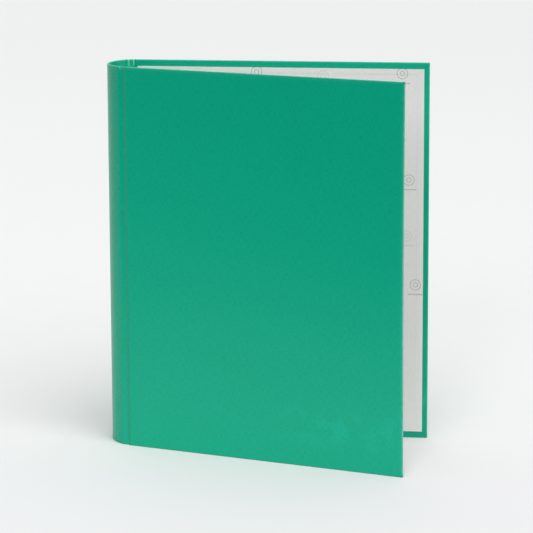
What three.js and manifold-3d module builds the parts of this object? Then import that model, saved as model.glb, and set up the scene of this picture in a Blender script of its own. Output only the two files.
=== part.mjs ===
// A4 lever arch file with a rounded spine, standing on its lower edge and opened a little.
// Millimetres, +Z up. The back cover lies in the XZ plane with its outer face towards +Y, the spine
// is at -X and the front cover is on the -Y side, swung open about the front crease.
import * as THREE from "three";
import { mergeVertices } from "three/addons/utils/BufferGeometryUtils.js";
import Module from "manifold-3d";

const wasm = await Module();
wasm.setup();

// ---------------------------------------------------------------- driving dimensions
const HEIGHT = 320; // full height of the covers
const WIDTH = 248; // crease-side edge to free edge of a cover
const CLOSED = 54; // outside thickness of the closed file
const CREASE = 7; // flexible gap between a cover board and the spine board
const INSET = 2.5; // how far the spine's edges sit inside the covers' outer planes
const BULGE = 12; // rise of the rounded spine over its chord
const SPINE_TURN = 2; // degrees past square at which the spine stands
const COVER_TURN = -19.8; // degrees of the front cover about the front crease

const WRAP = 0.25; // covering paper on the outside
const TURN = 0.2; // covering paper turned in over the edges
const BOARD = 1.75; // grey board of a cover
const SPINE_BOARD = 1.4; // grey board of the spine
const LINER = 0.15; // printed lining paper
const GLUE = 0.05; // glue line between layers
const TURN_IN = 10; // width of the turned-in covering
const FACE = 2.5; // depth of the lining's face behind a cover's outer plane

// lever arch mechanism: u is across from the crease, w is height above the lining, z is up
const Z_MID = 160;
const PITCH = 80; // filing hole spacing
const POST_U = 45;
const POST_R = 2.1;
const POST_TOP = 27;
const SHAFT_U = 16;
const SHAFT_W = 3.8;
const WIRE_R = 1.9;
const ARCH_R = (POST_U - SHAFT_U) / 2;
const CRANK = 14; // offset of the crank from the shaft
const PLATE = 1.2;
const PLATE_TOP = 0.03 + PLATE;
const PIVOT_U = 38.5;
const ROLLER_R = 2.6;
const ROLLER_U = SHAFT_U + CRANK;
const PIVOT_W = SHAFT_W + WIRE_R + ROLLER_R + 0.1;
const RIVETS = [[15, 96], [50, 96], [15, 224], [50, 224]];

// the frame's origin: middle of the standing object's outline, on the surface it stands on
const ORIGIN_X = 114.953;
const ORIGIN_Y = -64.919;

// ---------------------------------------------------------------- helpers
const rad = (d) => (d * Math.PI) / 180;

function solid(geometry) {
  let g = geometry.index ? geometry.toNonIndexed() : geometry.clone();
  g = new THREE.BufferGeometry().setAttribute("position", g.getAttribute("position"));
  g = mergeVertices(g, 1e-4);
  const tri = [];
  const ix = g.index.array;
  for (let i = 0; i < ix.length; i += 3)
    if (ix[i] !== ix[i + 1] && ix[i + 1] !== ix[i + 2] && ix[i] !== ix[i + 2]) tri.push(ix[i], ix[i + 1], ix[i + 2]);
  const make = (t) =>
    new wasm.Manifold(new wasm.Mesh({ numProp: 3, vertProperties: g.attributes.position.array, triVerts: new Uint32Array(t) }));
  let m = make(tri);
  if (m.volume() < 0) {
    for (let i = 0; i < tri.length; i += 3) [tri[i + 1], tri[i + 2]] = [tri[i + 2], tri[i + 1]];
    m = make(tri);
  }
  return m;
}

function geometryOf(m) {
  const mesh = m.getMesh();
  const n = mesh.numProp;
  const v = new Float32Array(mesh.numVert * 3);
  for (let i = 0; i < mesh.numVert; i++) v.set(mesh.vertProperties.subarray(i * n, i * n + 3), i * 3);
  const g = new THREE.BufferGeometry().setAttribute("position", new THREE.BufferAttribute(v, 3));
  g.setIndex(new THREE.BufferAttribute(new Uint32Array(mesh.triVerts), 1));
  g.computeVertexNormals();
  return g;
}

// box between two corners
function box(x0, x1, y0, y1, z0, z1) {
  return solid(new THREE.BoxGeometry(x1 - x0, y1 - y0, z1 - z0).translate((x0 + x1) / 2, (y0 + y1) / 2, (z0 + z1) / 2));
}

// plan outline [x, y] raised from z0 to z1
function rise(points, z0, z1) {
  const s = new THREE.Shape(points.map(([x, y]) => new THREE.Vector2(x, y)));
  return solid(new THREE.ExtrudeGeometry(s, { depth: z1 - z0, bevelEnabled: false }).translate(0, 0, z0));
}

const Y = (w) => -FACE - w; // height above the lining to the frame's y

// side outline [u, w] of the mechanism, between two heights z
const side = (points, z0, z1) => rise(points.map(([u, w]) => [u, Y(w)]), z0, z1);

// face outline (a THREE.Shape in u, z) between two heights w above the lining
function sheet(shape, w0, w1) {
  return solid(new THREE.ExtrudeGeometry(shape, { depth: w1 - w0, bevelEnabled: false, curveSegments: 4 }).rotateX(Math.PI / 2).translate(0, Y(w0), 0));
}

// turned piece about the w direction, profile [r, w] starting and ending on the axis
function turned(profile, u, z, sides = 16) {
  const pts = profile.map(([r, w]) => new THREE.Vector2(r, w));
  return solid(new THREE.LatheGeometry(pts, sides).rotateX(Math.PI).translate(u, -FACE, z));
}

// round bar along z
function bar(u, w, r, z0, z1, sides = 16) {
  return solid(new THREE.CylinderGeometry(r, r, z1 - z0, sides).rotateX(Math.PI / 2).translate(u, Y(w), (z0 + z1) / 2));
}

function roundedRect(x0, x1, y0, y1, r) {
  const s = new THREE.Shape();
  s.moveTo(x0 + r, y0);
  s.lineTo(x1 - r, y0);
  s.absarc(x1 - r, y0 + r, r, -Math.PI / 2, 0);
  s.lineTo(x1, y1 - r);
  s.absarc(x1 - r, y1 - r, r, 0, Math.PI / 2);
  s.lineTo(x0 + r, y1);
  s.absarc(x0 + r, y1 - r, r, Math.PI / 2, Math.PI);
  s.lineTo(x0, y0 + r);
  s.absarc(x0 + r, y0 + r, r, Math.PI, 1.5 * Math.PI);
  return s;
}

// round wire bent along a list of corners [u, w, z, bend radius]
function wire(corners, r, steps, sides = 10) {
  const P = corners.map(([u, w, z]) => new THREE.Vector3(u, Y(w), z));
  const pts = [P[0].clone()];
  for (let i = 1; i < P.length - 1; i++) {
    const R = corners[i][3];
    const a = P[i - 1].clone().sub(P[i]).normalize();
    const b = P[i + 1].clone().sub(P[i]).normalize();
    const half = a.angleTo(b) / 2;
    const cut = R / Math.tan(half);
    const c = P[i].clone().add(a.clone().add(b).normalize().multiplyScalar(R / Math.sin(half)));
    const p0 = P[i].clone().add(a.clone().multiplyScalar(cut));
    const p1 = P[i].clone().add(b.clone().multiplyScalar(cut));
    const v0 = p0.clone().sub(c);
    const v1 = p1.clone().sub(c);
    const turn = v0.angleTo(v1);
    const axis = v0.clone().cross(v1).normalize();
    const n = Math.max(3, Math.round((turn * R) / 1.2));
    for (let k = 0; k <= n; k++) pts.push(c.clone().add(v0.clone().applyAxisAngle(axis, (turn * k) / n)));
  }
  pts.push(P[P.length - 1].clone());
  const path = new THREE.CurvePath();
  for (let i = 1; i < pts.length; i++) if (pts[i].distanceTo(pts[i - 1]) > 1e-3) path.add(new THREE.LineCurve3(pts[i - 1], pts[i]));
  const s = new THREE.Shape();
  for (let k = 0; k < sides; k++) {
    const t = (2 * Math.PI * k) / sides;
    k ? s.lineTo(r * Math.cos(t), r * Math.sin(t)) : s.moveTo(r, 0);
  }
  return solid(new THREE.ExtrudeGeometry(s, { steps, extrudePath: path, bevelEnabled: false }));
}

const materials = {
  cover: new THREE.MeshStandardMaterial({ color: 0x0b9a76, roughness: 0.62, metalness: 0 }),
  lining: new THREE.MeshStandardMaterial({ color: 0xd2d3cc, roughness: 0.85, metalness: 0 }),
  board: new THREE.MeshStandardMaterial({ color: 0x8f8a80, roughness: 0.95, metalness: 0 }),
  steel: new THREE.MeshStandardMaterial({ color: 0xc9cbcd, roughness: 0.25, metalness: 1 }),
  grip: new THREE.MeshStandardMaterial({ color: 0x1b1b1d, roughness: 0.5, metalness: 0 }),
};

function piece(group, name, m, material) {
  const mesh = new THREE.Mesh(geometryOf(m), materials[material]);
  mesh.name = name;
  group.add(mesh);
}

// ---------------------------------------------------------------- groups
const root = new THREE.Group();
const file = new THREE.Group(); // plan origin at the crease-side edge of the back cover's outer face
file.position.set(-ORIGIN_X, -ORIGIN_Y, 0);
root.add(file);

const MID = 1.3; // depth of a crease's turning line behind the outer plane
const backAxis = [-CREASE / 2, -MID];
const frontAxis = [-CREASE / 2, -(CLOSED - MID)];

function hinged(parent, [x, y], degrees) {
  const turn = new THREE.Group();
  turn.position.set(x, y, 0);
  turn.rotation.z = rad(degrees);
  const held = new THREE.Group();
  held.position.set(-x, -y, 0);
  turn.add(held);
  parent.add(turn);
  return held;
}
const spine = hinged(file, backAxis, SPINE_TURN);
const front = hinged(spine, frontAxis, COVER_TURN);

// ---------------------------------------------------------------- covers
// A cover is grey board in covering paper that is turned in 10 mm over three edges, with a lining
// glued over the turn-ins. s = 1 for the back cover; the front cover is its mirror image.
function coverPieces(mirror) {
  const y = (d) => (mirror ? -CLOSED + d : -d); // depth behind the outer plane
  const slab = (x0, x1, d0, d1, z0, z1) => box(x0, x1, Math.min(y(d0), y(d1)), Math.max(y(d0), y(d1)), z0, z1);
  const dBoard = WRAP + GLUE;
  const dTurn = dBoard + BOARD + GLUE;
  const inner = dTurn + TURN;
  const wrap = slab(0, WIDTH, 0, inner, 0, HEIGHT)
    .subtract(slab(-1, WIDTH - WRAP, WRAP, dTurn, WRAP, HEIGHT - WRAP))
    .subtract(slab(-1, WIDTH - TURN_IN, dTurn - 0.1, inner + 1, TURN_IN, HEIGHT - TURN_IN));
  const board = slab(0.1, WIDTH - WRAP - GLUE, dBoard, dBoard + BOARD, WRAP + GLUE, HEIGHT - WRAP - GLUE);
  const liner = slab(3, WIDTH - 4.5, FACE - LINER, FACE, 5.45, HEIGHT - 5.45);
  return { wrap, board, liner };
}
const back = coverPieces(false);
const hole = (r, sides = 16) => {
  let all = null;
  for (const [u, z] of RIVETS) {
    const h = solid(new THREE.CylinderGeometry(r, r, 20, sides).translate(u, 0, z));
    all = all ? all.add(h) : h;
  }
  return all;
};
piece(file, "back_cover_wrap", back.wrap.subtract(hole(2.45)), "cover");
piece(file, "back_board", back.board.subtract(hole(2.45)), "board");
piece(file, "back_lining", back.liner.subtract(hole(2.45)), "lining");
const ahead = coverPieces(true);
piece(front, "front_cover_wrap", ahead.wrap, "cover");
piece(front, "front_board", ahead.board, "board");
piece(front, "front_lining", ahead.liner, "lining");

// ---------------------------------------------------------------- rounded spine
const CHORD = CLOSED - 2 * INSET;
const SPINE_R = ((CHORD * CHORD) / 4 + BULGE * BULGE) / (2 * BULGE);
const SPINE_HALF = Math.asin(CHORD / 2 / SPINE_R);
const SPINE_X = -CREASE - BULGE + SPINE_R;
const SPINE_Y = -CLOSED / 2;
function arcBand(r0, r1, z0, z1, extra = 0, n = 22) {
  const pts = [];
  const h = SPINE_HALF + extra;
  for (let i = 0; i <= n; i++) {
    const t = -h + (2 * h * i) / n;
    pts.push([SPINE_X - r1 * Math.cos(t), SPINE_Y + r1 * Math.sin(t)]);
  }
  for (let i = n; i >= 0; i--) {
    const t = -h + (2 * h * i) / n;
    pts.push([SPINE_X - r0 * Math.cos(t), SPINE_Y + r0 * Math.sin(t)]);
  }
  return rise(pts, z0, z1);
}
const rBoard = SPINE_R - WRAP - GLUE;
const rTurn = rBoard - SPINE_BOARD - GLUE;
const rStrip = rTurn - TURN - GLUE;
const spineWrap = arcBand(rTurn - TURN, SPINE_R, 0, HEIGHT)
  .subtract(arcBand(rTurn, SPINE_R - WRAP, WRAP, HEIGHT - WRAP, 0.05, 22))
  .subtract(arcBand(rTurn - TURN - 1, rTurn + 0.1, TURN_IN, HEIGHT - TURN_IN, 0.05, 22));
piece(spine, "spine_cover_wrap", spineWrap, "cover");
piece(spine, "spine_board", arcBand(rBoard - SPINE_BOARD + 0.05, rBoard - 0.05, WRAP + GLUE, HEIGHT - WRAP - GLUE, -0.006), "board");
piece(spine, "spine_inner_strip", arcBand(rStrip - TURN, rStrip - 0.05, 5.45, HEIGHT - 5.45, -0.004), "cover");

// ---------------------------------------------------------------- flexible creases
// Covering and inner strip pressed together in the gap; it bends between the board and the spine.
function creaseOutline(mirror, degrees) {
  const curve = new THREE.CubicBezierCurve(
    new THREE.Vector2(-0.3, -1.2),
    new THREE.Vector2(-2.4, -1.2),
    new THREE.Vector2(-4.4, -1.8),
    new THREE.Vector2(-6.0, -3.05),
  );
  const n = 10;
  const one = [];
  const two = [];
  for (let i = 0; i <= n; i++) {
    const t = i / n;
    const p = curve.getPoint(t);
    const d = curve.getTangent(t);
    for (const [list, off] of [[one, 0.32], [two, -0.32]]) {
      let x = p.x - d.y * off;
      let y = p.y + d.x * off;
      const [ax, ay] = backAxis;
      const w = t * t * (3 - 2 * t);
      const a = rad(degrees) * (mirror ? 1 - w : w) * (mirror ? -1 : 1);
      const dx = x - ax;
      const dy = y - ay;
      x = ax + dx * Math.cos(a) - dy * Math.sin(a);
      y = ay + dx * Math.sin(a) + dy * Math.cos(a);
      list.push([x, mirror ? -CLOSED - y : y]);
    }
  }
  return [...one, ...two.reverse()];
}
piece(file, "back_crease", rise(creaseOutline(false, SPINE_TURN), 0, HEIGHT), "cover");
piece(spine, "front_crease", rise(creaseOutline(true, COVER_TURN), 0, HEIGHT), "cover");

// ---------------------------------------------------------------- base plate
const postHoles = [Z_MID - PITCH / 2, Z_MID + PITCH / 2];
const tall = (r, u, z) => solid(new THREE.CylinderGeometry(r, r, 20, 16).translate(u, Y(0), z));
let plate = sheet(roundedRect(9, 56, 88, 232, 6), 0.03, PLATE_TOP);
for (const [u, z] of RIVETS) plate = plate.subtract(tall(2.45, u, z));
for (const z of postHoles) plate = plate.subtract(tall(2.05, POST_U, z));
plate = plate.subtract(tall(1.6, 13, Z_MID));
for (const u of [36, 41.5]) plate = plate.subtract(tall(1.15, u, Z_MID));
// windows that lighten the plate beside the bearings
for (const z of [Z_MID - 40, Z_MID + 40]) plate = plate.subtract(solid(new THREE.BoxGeometry(9, 20, 12).translate(29.5, Y(0), z)));
piece(file, "base_plate", plate, "steel");

// saddles that hold the arch shaft down on the plate
function saddle() {
  const pts = [[9.9, PLATE_TOP + 0.02], [9.9, 2.45], [12.3, 2.45]];
  for (let i = 0; i <= 14; i++) {
    const t = rad(194 - (208 * i) / 14);
    pts.push([SHAFT_U + 3.25 * Math.cos(t), SHAFT_W + 3.25 * Math.sin(t)]);
  }
  pts.push([19.7, 2.45], [22.1, 2.45], [22.1, PLATE_TOP + 0.02], [SHAFT_U + 2.08, PLATE_TOP + 0.02]);
  for (let i = 0; i <= 12; i++) {
    const t = rad((180 * i) / 12);
    pts.push([SHAFT_U + 2.08 * Math.cos(t), SHAFT_W + 2.08 * Math.sin(t)]);
  }
  pts.push([SHAFT_U - 2.08, PLATE_TOP + 0.02]);
  return pts;
}
piece(file, "shaft_bearing_lower", side(saddle(), 128, 138), "steel");
piece(file, "shaft_bearing_upper", side(saddle(), 182, 192), "steel");

// ---------------------------------------------------------------- filing posts
const post = [[0, 0.08], [1.9, 0.08], [1.9, PLATE_TOP + 0.03], [3.6, PLATE_TOP + 0.03], [3.6, 2.2], [3.1, 2.6], [POST_R, 2.6],
  [POST_R, POST_TOP - 0.5], [1.6, POST_TOP], [0, POST_TOP]];
piece(file, "filing_post_lower", turned(post, POST_U, Z_MID - PITCH / 2), "steel");
piece(file, "filing_post_upper", turned(post, POST_U, Z_MID + PITCH / 2), "steel");

// ---------------------------------------------------------------- arches, shaft and crank: one bent wire
const zl = Z_MID - PITCH / 2;
const zu = Z_MID + PITCH / 2;
const top = POST_TOP + 0.8;
function halfRing(z, up) {
  const c = [];
  const n = 18;
  for (let i = 0; i <= n; i++) {
    const t = rad(up ? 180 - (180 * i) / n : (180 * i) / n);
    c.push([SHAFT_U + ARCH_R + ARCH_R * Math.cos(t), top + ARCH_R * Math.sin(t), z]);
  }
  return c;
}
const ringDown = halfRing(zl, false);
const ringUp = halfRing(zu, true);
const soft = (list) => list.map((p) => [...p, 3]);
const archPath = [
  [POST_U, POST_TOP + 0.3, zl],
  ...soft(ringDown),
  [SHAFT_U, SHAFT_W, zl, 5],
  [SHAFT_U, SHAFT_W, Z_MID - 13, 4],
  [ROLLER_U, SHAFT_W, Z_MID - 13, 4],
  [ROLLER_U, SHAFT_W, Z_MID + 13, 4],
  [SHAFT_U, SHAFT_W, Z_MID + 13, 4],
  [SHAFT_U, SHAFT_W, zu, 5],
  ...soft(ringUp),
  [POST_U, POST_TOP + 0.3, zu],
];
piece(file, "arch_wire", wire(archPath, WIRE_R, 116, 8), "steel");

// leaf that lifts the crank and so opens the arches, with its rivet
const leaf = new THREE.Shape([[9.8, 154.5], [11, 153.5], [26, 153.5], [31.6, 155.5], [31.6, 164.5], [26, 166.5], [11, 166.5], [9.8, 165.5]].map(([u, z]) => new THREE.Vector2(u, z)));
piece(file, "arch_spring", sheet(leaf, PLATE_TOP + 0.03, PLATE_TOP + 0.43).subtract(tall(1.6, 13, Z_MID)), "steel");
piece(file, "spring_rivet", turned([[0, 0.08], [1.4, 0.08], [1.4, 1.72], [2.7, 1.72], [2.5, 2.3], [1.6, 2.6], [0, 2.6]], 13, Z_MID), "steel");

// ---------------------------------------------------------------- lever bracket
const earZ = [[150, 151.4], [168.6, 170]];
function ear() {
  const pts = [[33.9, PLATE_TOP + 0.05], [33.9, 5.5]];
  for (let i = 0; i <= 10; i++) {
    const t = rad(168 - (156 * i) / 10);
    pts.push([PIVOT_U + 4.3 * Math.cos(t), PIVOT_W + 4.3 * Math.sin(t)]);
  }
  pts.push([43.6, 5.5], [43.6, PLATE_TOP + 0.05]);
  return pts;
}
let bracket = side([[33.9, PLATE_TOP + 0.05], [33.9, 2.5], [43.6, 2.5], [43.6, PLATE_TOP + 0.05]], 150, 170);
for (const [z0, z1] of earZ) bracket = bracket.add(side(ear(), z0, z1));
bracket = bracket.subtract(bar(PIVOT_U, PIVOT_W, 1.62, 140, 180));
for (const u of [36, 41.5]) bracket = bracket.subtract(tall(1.15, u, Z_MID));
piece(file, "lever_bracket", bracket, "steel");
const small = [[0, 0.08], [0.95, 0.08], [0.95, 2.56], [1.8, 2.56], [1.6, 3.0], [0.9, 3.25], [0, 3.25]];
piece(file, "bracket_rivet_inner", turned(small, 36, Z_MID, 14), "steel");
piece(file, "bracket_rivet_outer", turned(small, 41.5, Z_MID, 14), "steel");
let pin = bar(PIVOT_U, PIVOT_W, 1.5, 149.1, 170.9).add(bar(PIVOT_U, PIVOT_W, 2.4, 148.9, 149.8)).add(bar(PIVOT_U, PIVOT_W, 2.4, 170.2, 171.1));
piece(file, "lever_pivot_pin", pin, "steel");

// ---------------------------------------------------------------- lever
const hubTop = PIVOT_W + 4.2;
// web and finger tongue: a bent strip seen from the side, 1.2 thick, rolled at its end
const tongueTop = [[42.3, hubTop - 0.6], [40.6, hubTop], [25.5, hubTop], [23.2, hubTop + 0.7], [8.6, hubTop + 11.2], [6.6, hubTop + 12.9]];
const tongueLow = [[6.0, hubTop + 11.8], [8.0, hubTop + 9.9], [22.7, hubTop - 0.75], [25.2, hubTop - 1.2], [40.4, hubTop - 1.2], [41.6, hubTop - 1.6]];
let lever = side([...tongueTop, ...tongueLow], 153, 167);
lever = lever.add(side([[42.3, hubTop - 0.6], [40.6, hubTop], [25.5, hubTop], [24.5, hubTop + 0.3], [24.0, hubTop - 0.9], [25.2, hubTop - 1.2], [40.4, hubTop - 1.2], [41.6, hubTop - 1.6]], 152, 168));
const tip = solid(new THREE.CylinderGeometry(2.0, 2.0, 14, 18).rotateX(Math.PI / 2).translate(5.0, Y(hubTop + 12.6), Z_MID));
lever = lever.add(tip);
function cheek() {
  const pts = [[22.8, hubTop - 0.3], [25.0, PIVOT_W - 1.0], [27.2, PIVOT_W - 1.35], [33.5, PIVOT_W - 1.35], [35.2, PIVOT_W - 2.6]];
  for (let i = 0; i <= 8; i++) {
    const t = rad(232 + (148 * i) / 8);
    pts.push([PIVOT_U + 3.6 * Math.cos(t), PIVOT_W + 3.6 * Math.sin(t)]);
  }
  pts.push([42.0, hubTop - 1.0], [40.6, hubTop - 0.2]);
  return pts;
}
for (const [z0, z1] of [[152, 153.2], [166.8, 168]]) lever = lever.add(side(cheek(), z0, z1)).add(bar(ROLLER_U, PIVOT_W, 2.15, z0, z1, 20));
lever = lever.subtract(bar(PIVOT_U, PIVOT_W, 1.62, 140, 180)).subtract(bar(ROLLER_U, PIVOT_W, 1.36, 140, 180));
piece(file, "lever", lever, "steel");
piece(file, "roller_pin", bar(ROLLER_U, PIVOT_W, 1.2, 151.85, 168.15), "steel");
piece(file, "pressure_roller", bar(ROLLER_U, PIVOT_W, ROLLER_R, 153.5, 166.5, 22).subtract(bar(ROLLER_U, PIVOT_W, 1.36, 140, 180)), "steel");

// ---------------------------------------------------------------- sheet compressor
const C0 = 2.9;
const C1 = 4.1;
const BAIL_U = 54.5;
const BAIL_W = C1 + 2.2;
const outline = new THREE.Shape();
const corner = [[58, 108], [58, 212], [49, 212], [48, 209], [42, 209], [40.2, 207], [40.2, 193], [42, 191], [46.5, 191], [48.6, 188.5],
  [48.6, 131.5], [46.5, 129], [42, 129], [40.2, 127], [40.2, 113], [42, 111], [48, 111], [49, 108]];
corner.forEach(([u, z], i) => (i ? outline.lineTo(u, z) : outline.moveTo(u, z)));
let press = sheet(outline, C0, C1);
press = press.add(box(56.8, 58, Y(6.6), Y(C0), 114, 206));
for (const z of [109.6, 210.4]) press = press.add(box(52.9, 56.1, Y(BAIL_W + 1.7), Y(C1 - 0.2), z - 1.3, z + 1.3));
press = press.subtract(bar(BAIL_U, BAIL_W, 1.12, 100, 220, 12));
for (const z of postHoles) press = press.subtract(tall(2.45, POST_U, z));
piece(file, "compressor_bar", press, "steel");
piece(file, "compressor_bail", wire([[BAIL_U, BAIL_W, 108.4], [BAIL_U, BAIL_W, 114.4, 2.2], [48.4, BAIL_W, 114.4, 2.2], [48.4, BAIL_W, 205.6, 2.2], [BAIL_U, BAIL_W, 205.6, 2.2], [BAIL_U, BAIL_W, 211.6]], 0.95, 44, 6), "steel");
let tab = bar(48.4, BAIL_W, 1.9, 149, 171, 14).add(side([[48.4, BAIL_W + 0.9], [48.4, BAIL_W + 1.9], [53.6, BAIL_W + 3.1], [53.9, BAIL_W + 2.1]], 149, 171));
tab = tab.subtract(bar(48.4, BAIL_W, 1.08, 140, 180, 12));
piece(file, "compressor_tab", tab, "grip");

// ---------------------------------------------------------------- rivets through the back cover
const rivet = [[0, -FACE - 0.95], [3.0, -FACE - 0.85], [4.2, -FACE - 0.45], [4.5, -FACE - 0.05], [2.2, -FACE - 0.05], [2.2, PLATE_TOP + 0.03],
  [3.7, PLATE_TOP + 0.03], [3.5, PLATE_TOP + 0.7], [2.6, PLATE_TOP + 1.0], [1.4, PLATE_TOP + 0.9], [1.2, PLATE_TOP + 0.3], [0, PLATE_TOP + 0.3]];
RIVETS.forEach(([u, z], i) => piece(file, `mounting_rivet_${i + 1}`, turned(rivet, u, z, 16), "steel"));

export default root;
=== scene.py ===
import math

import bmesh
import bpy
from mathutils import Matrix, Vector, noise


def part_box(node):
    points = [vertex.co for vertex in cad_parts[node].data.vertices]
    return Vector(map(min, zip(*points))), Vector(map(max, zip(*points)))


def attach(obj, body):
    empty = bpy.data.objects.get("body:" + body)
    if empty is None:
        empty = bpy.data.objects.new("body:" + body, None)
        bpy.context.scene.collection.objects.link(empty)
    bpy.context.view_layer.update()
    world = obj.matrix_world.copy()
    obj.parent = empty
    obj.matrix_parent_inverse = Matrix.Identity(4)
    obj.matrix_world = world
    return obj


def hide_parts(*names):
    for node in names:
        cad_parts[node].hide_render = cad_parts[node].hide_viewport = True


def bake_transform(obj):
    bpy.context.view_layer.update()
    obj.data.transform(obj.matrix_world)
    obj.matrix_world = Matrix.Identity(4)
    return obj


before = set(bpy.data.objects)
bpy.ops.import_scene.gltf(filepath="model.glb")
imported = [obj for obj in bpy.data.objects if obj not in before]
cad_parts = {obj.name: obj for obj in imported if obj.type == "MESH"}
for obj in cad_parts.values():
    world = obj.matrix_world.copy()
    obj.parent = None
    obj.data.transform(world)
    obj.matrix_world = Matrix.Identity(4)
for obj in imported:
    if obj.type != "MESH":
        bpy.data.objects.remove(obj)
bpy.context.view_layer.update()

MM = 0.001

# ------------------------------------------------------------------ where things are
lo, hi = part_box("back_cover_wrap")
X0, Y0 = lo.x, hi.y  # the back cover's crease-side edge and outer plane
H = (hi.z - lo.z) / MM
W = (hi.x - lo.x) / MM
CLOSED = 54.0
CREASE = 7.0
INSET = 2.5
BULGE = 12.0
SPINE_TURN = math.radians(2.0)
COVER_TURN = math.radians(-19.8)
BACK_AXIS = (-CREASE / 2, -1.3)
FRONT_AXIS = (-CREASE / 2, -(CLOSED - 1.3))
FACE = 2.5
THICK = 2.3  # cover, over its covering paper
SPINE_THICK = 1.95
CREASE_THICK = 0.55
TURN_IN = 10.0
PAPER = 0.2


def turn(p, c, a):
    x, y = p[0] - c[0], p[1] - c[1]
    return (c[0] + x * math.cos(a) - y * math.sin(a), c[1] + x * math.sin(a) + y * math.cos(a))


def plan(x, y, z):
    """A point in the file's plan, in mm from the back cover's crease-side outer edge, in the row frame."""
    return Vector((X0 + x * MM, Y0 + y * MM, z * MM))


def mech(u, w, z):
    """A point of the mechanism: u across from the crease, w above the lining, z up, in mm."""
    return Vector((X0 + u * MM, Y0 - (FACE + w) * MM, z * MM))


def smooth(t):
    t = max(0.0, min(1.0, t))
    return t * t * (3 - 2 * t)


# ------------------------------------------------------------------ mesh helpers
def build(name, verts, faces, mat, attrs=None, weld=2e-6, sharp=40.0, flip=None):
    mesh = bpy.data.meshes.new(name)
    mesh.from_pydata([tuple(v) for v in verts], [], faces)
    for key, values in (attrs or {}).items():
        kind = "FLOAT_VECTOR" if hasattr(values[0], "__len__") else "FLOAT"
        a = mesh.attributes.new(key, kind, "POINT")
        if kind == "FLOAT":
            a.data.foreach_set("value", values)
        else:
            a.data.foreach_set("vector", [c for v in values for c in v])
    obj = bpy.data.objects.new(name, mesh)
    bpy.context.scene.collection.objects.link(obj)
    tidy(obj, weld, sharp, flip)
    mesh.materials.append(mat)
    return obj


def tidy(obj, weld=2e-6, sharp=40.0, flip=None):
    bm = bmesh.new()
    bm.from_mesh(obj.data)
    if weld:
        bmesh.ops.remove_doubles(bm, verts=bm.verts, dist=weld)
        bmesh.ops.dissolve_degenerate(bm, dist=1e-7, edges=bm.edges)
    if flip is None:
        bmesh.ops.recalc_face_normals(bm, faces=bm.faces)
    elif flip:
        bmesh.ops.reverse_faces(bm, faces=bm.faces)
    for f in bm.faces:
        f.smooth = True
    limit = math.radians(sharp)
    for e in bm.edges:
        e.smooth = not (len(e.link_faces) == 2 and e.calc_face_angle(0) > limit)
    bm.to_mesh(obj.data)
    bm.free()
    obj.data.update()


def applied(obj, sharp=40.0, weld=0):
    """The object's mesh with its modifiers made real."""
    dg = bpy.context.evaluated_depsgraph_get()
    mesh = bpy.data.meshes.new_from_object(obj.evaluated_get(dg), depsgraph=dg)
    old = obj.data
    obj.modifiers.clear()
    obj.data = mesh
    mesh.name = obj.name
    if old.users == 0:
        bpy.data.meshes.remove(old)
    tidy(obj, weld, sharp, False)
    return obj


def weighted(obj):
    m = obj.modifiers.new("weighted", "WEIGHTED_NORMAL")
    m.keep_sharp = True
    return obj


def loft(name, sections, mat, closed=False, caps=True, **kw):
    """Skins a list of closed outlines that have the same number of points."""
    n = len(sections[0])
    verts = [p for s in sections for p in s]
    faces = []
    rows = len(sections)
    for i in range(rows if closed else rows - 1):
        a, b = i * n, ((i + 1) % rows) * n
        for k in range(n):
            k2 = (k + 1) % n
            faces.append((a + k, a + k2, b + k2, b + k))
    if caps and not closed:
        faces.append(tuple(range(n - 1, -1, -1)))
        faces.append(tuple(range((rows - 1) * n, rows * n)))
    return build(name, verts, faces, mat, **kw)


def tube(name, pts, radius, mat, sides=20, ends=0.35, **kw):
    """Round wire along points in the row frame, with rounded ends."""
    pts = [Vector(p) for p in pts]
    r = radius * MM
    tang = []
    for i in range(len(pts)):
        a, b = pts[max(i - 1, 0)], pts[min(i + 1, len(pts) - 1)]
        tang.append((b - a).normalized())
    side = tang[0].orthogonal().normalized()
    rings = []

    def ring(p, s, t, k):
        b = t.cross(s).normalized()
        return [p + (s * math.cos(2 * math.pi * j / sides) + b * math.sin(2 * math.pi * j / sides)) * k for j in range(sides)]

    steps = [0, 30, 55, 75, 90]
    e = ends * MM
    frames = []
    for i, p in enumerate(pts):
        if i:
            q = tang[i - 1].rotation_difference(tang[i])
            side = (q @ side).normalized()
        frames.append((p, side.copy(), tang[i]))
    p, s, t = frames[0]
    for a in reversed(steps[1:]):
        rings.append(ring(p + t * (e - e * math.sin(math.radians(a))), s, t, r - e + e * math.cos(math.radians(a))))
    for i, (p, s, t) in enumerate(frames):
        if i == 0:
            p = p + t * e
        if i == len(frames) - 1:
            p = p - t * e
        rings.append(ring(p, s, t, r))
    p, s, t = frames[-1]
    for a in steps[1:]:
        rings.append(ring(p - t * (e - e * math.sin(math.radians(a))), s, t, r - e + e * math.cos(math.radians(a))))
    return loft(name, rings, mat, sharp=60, **kw)


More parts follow.
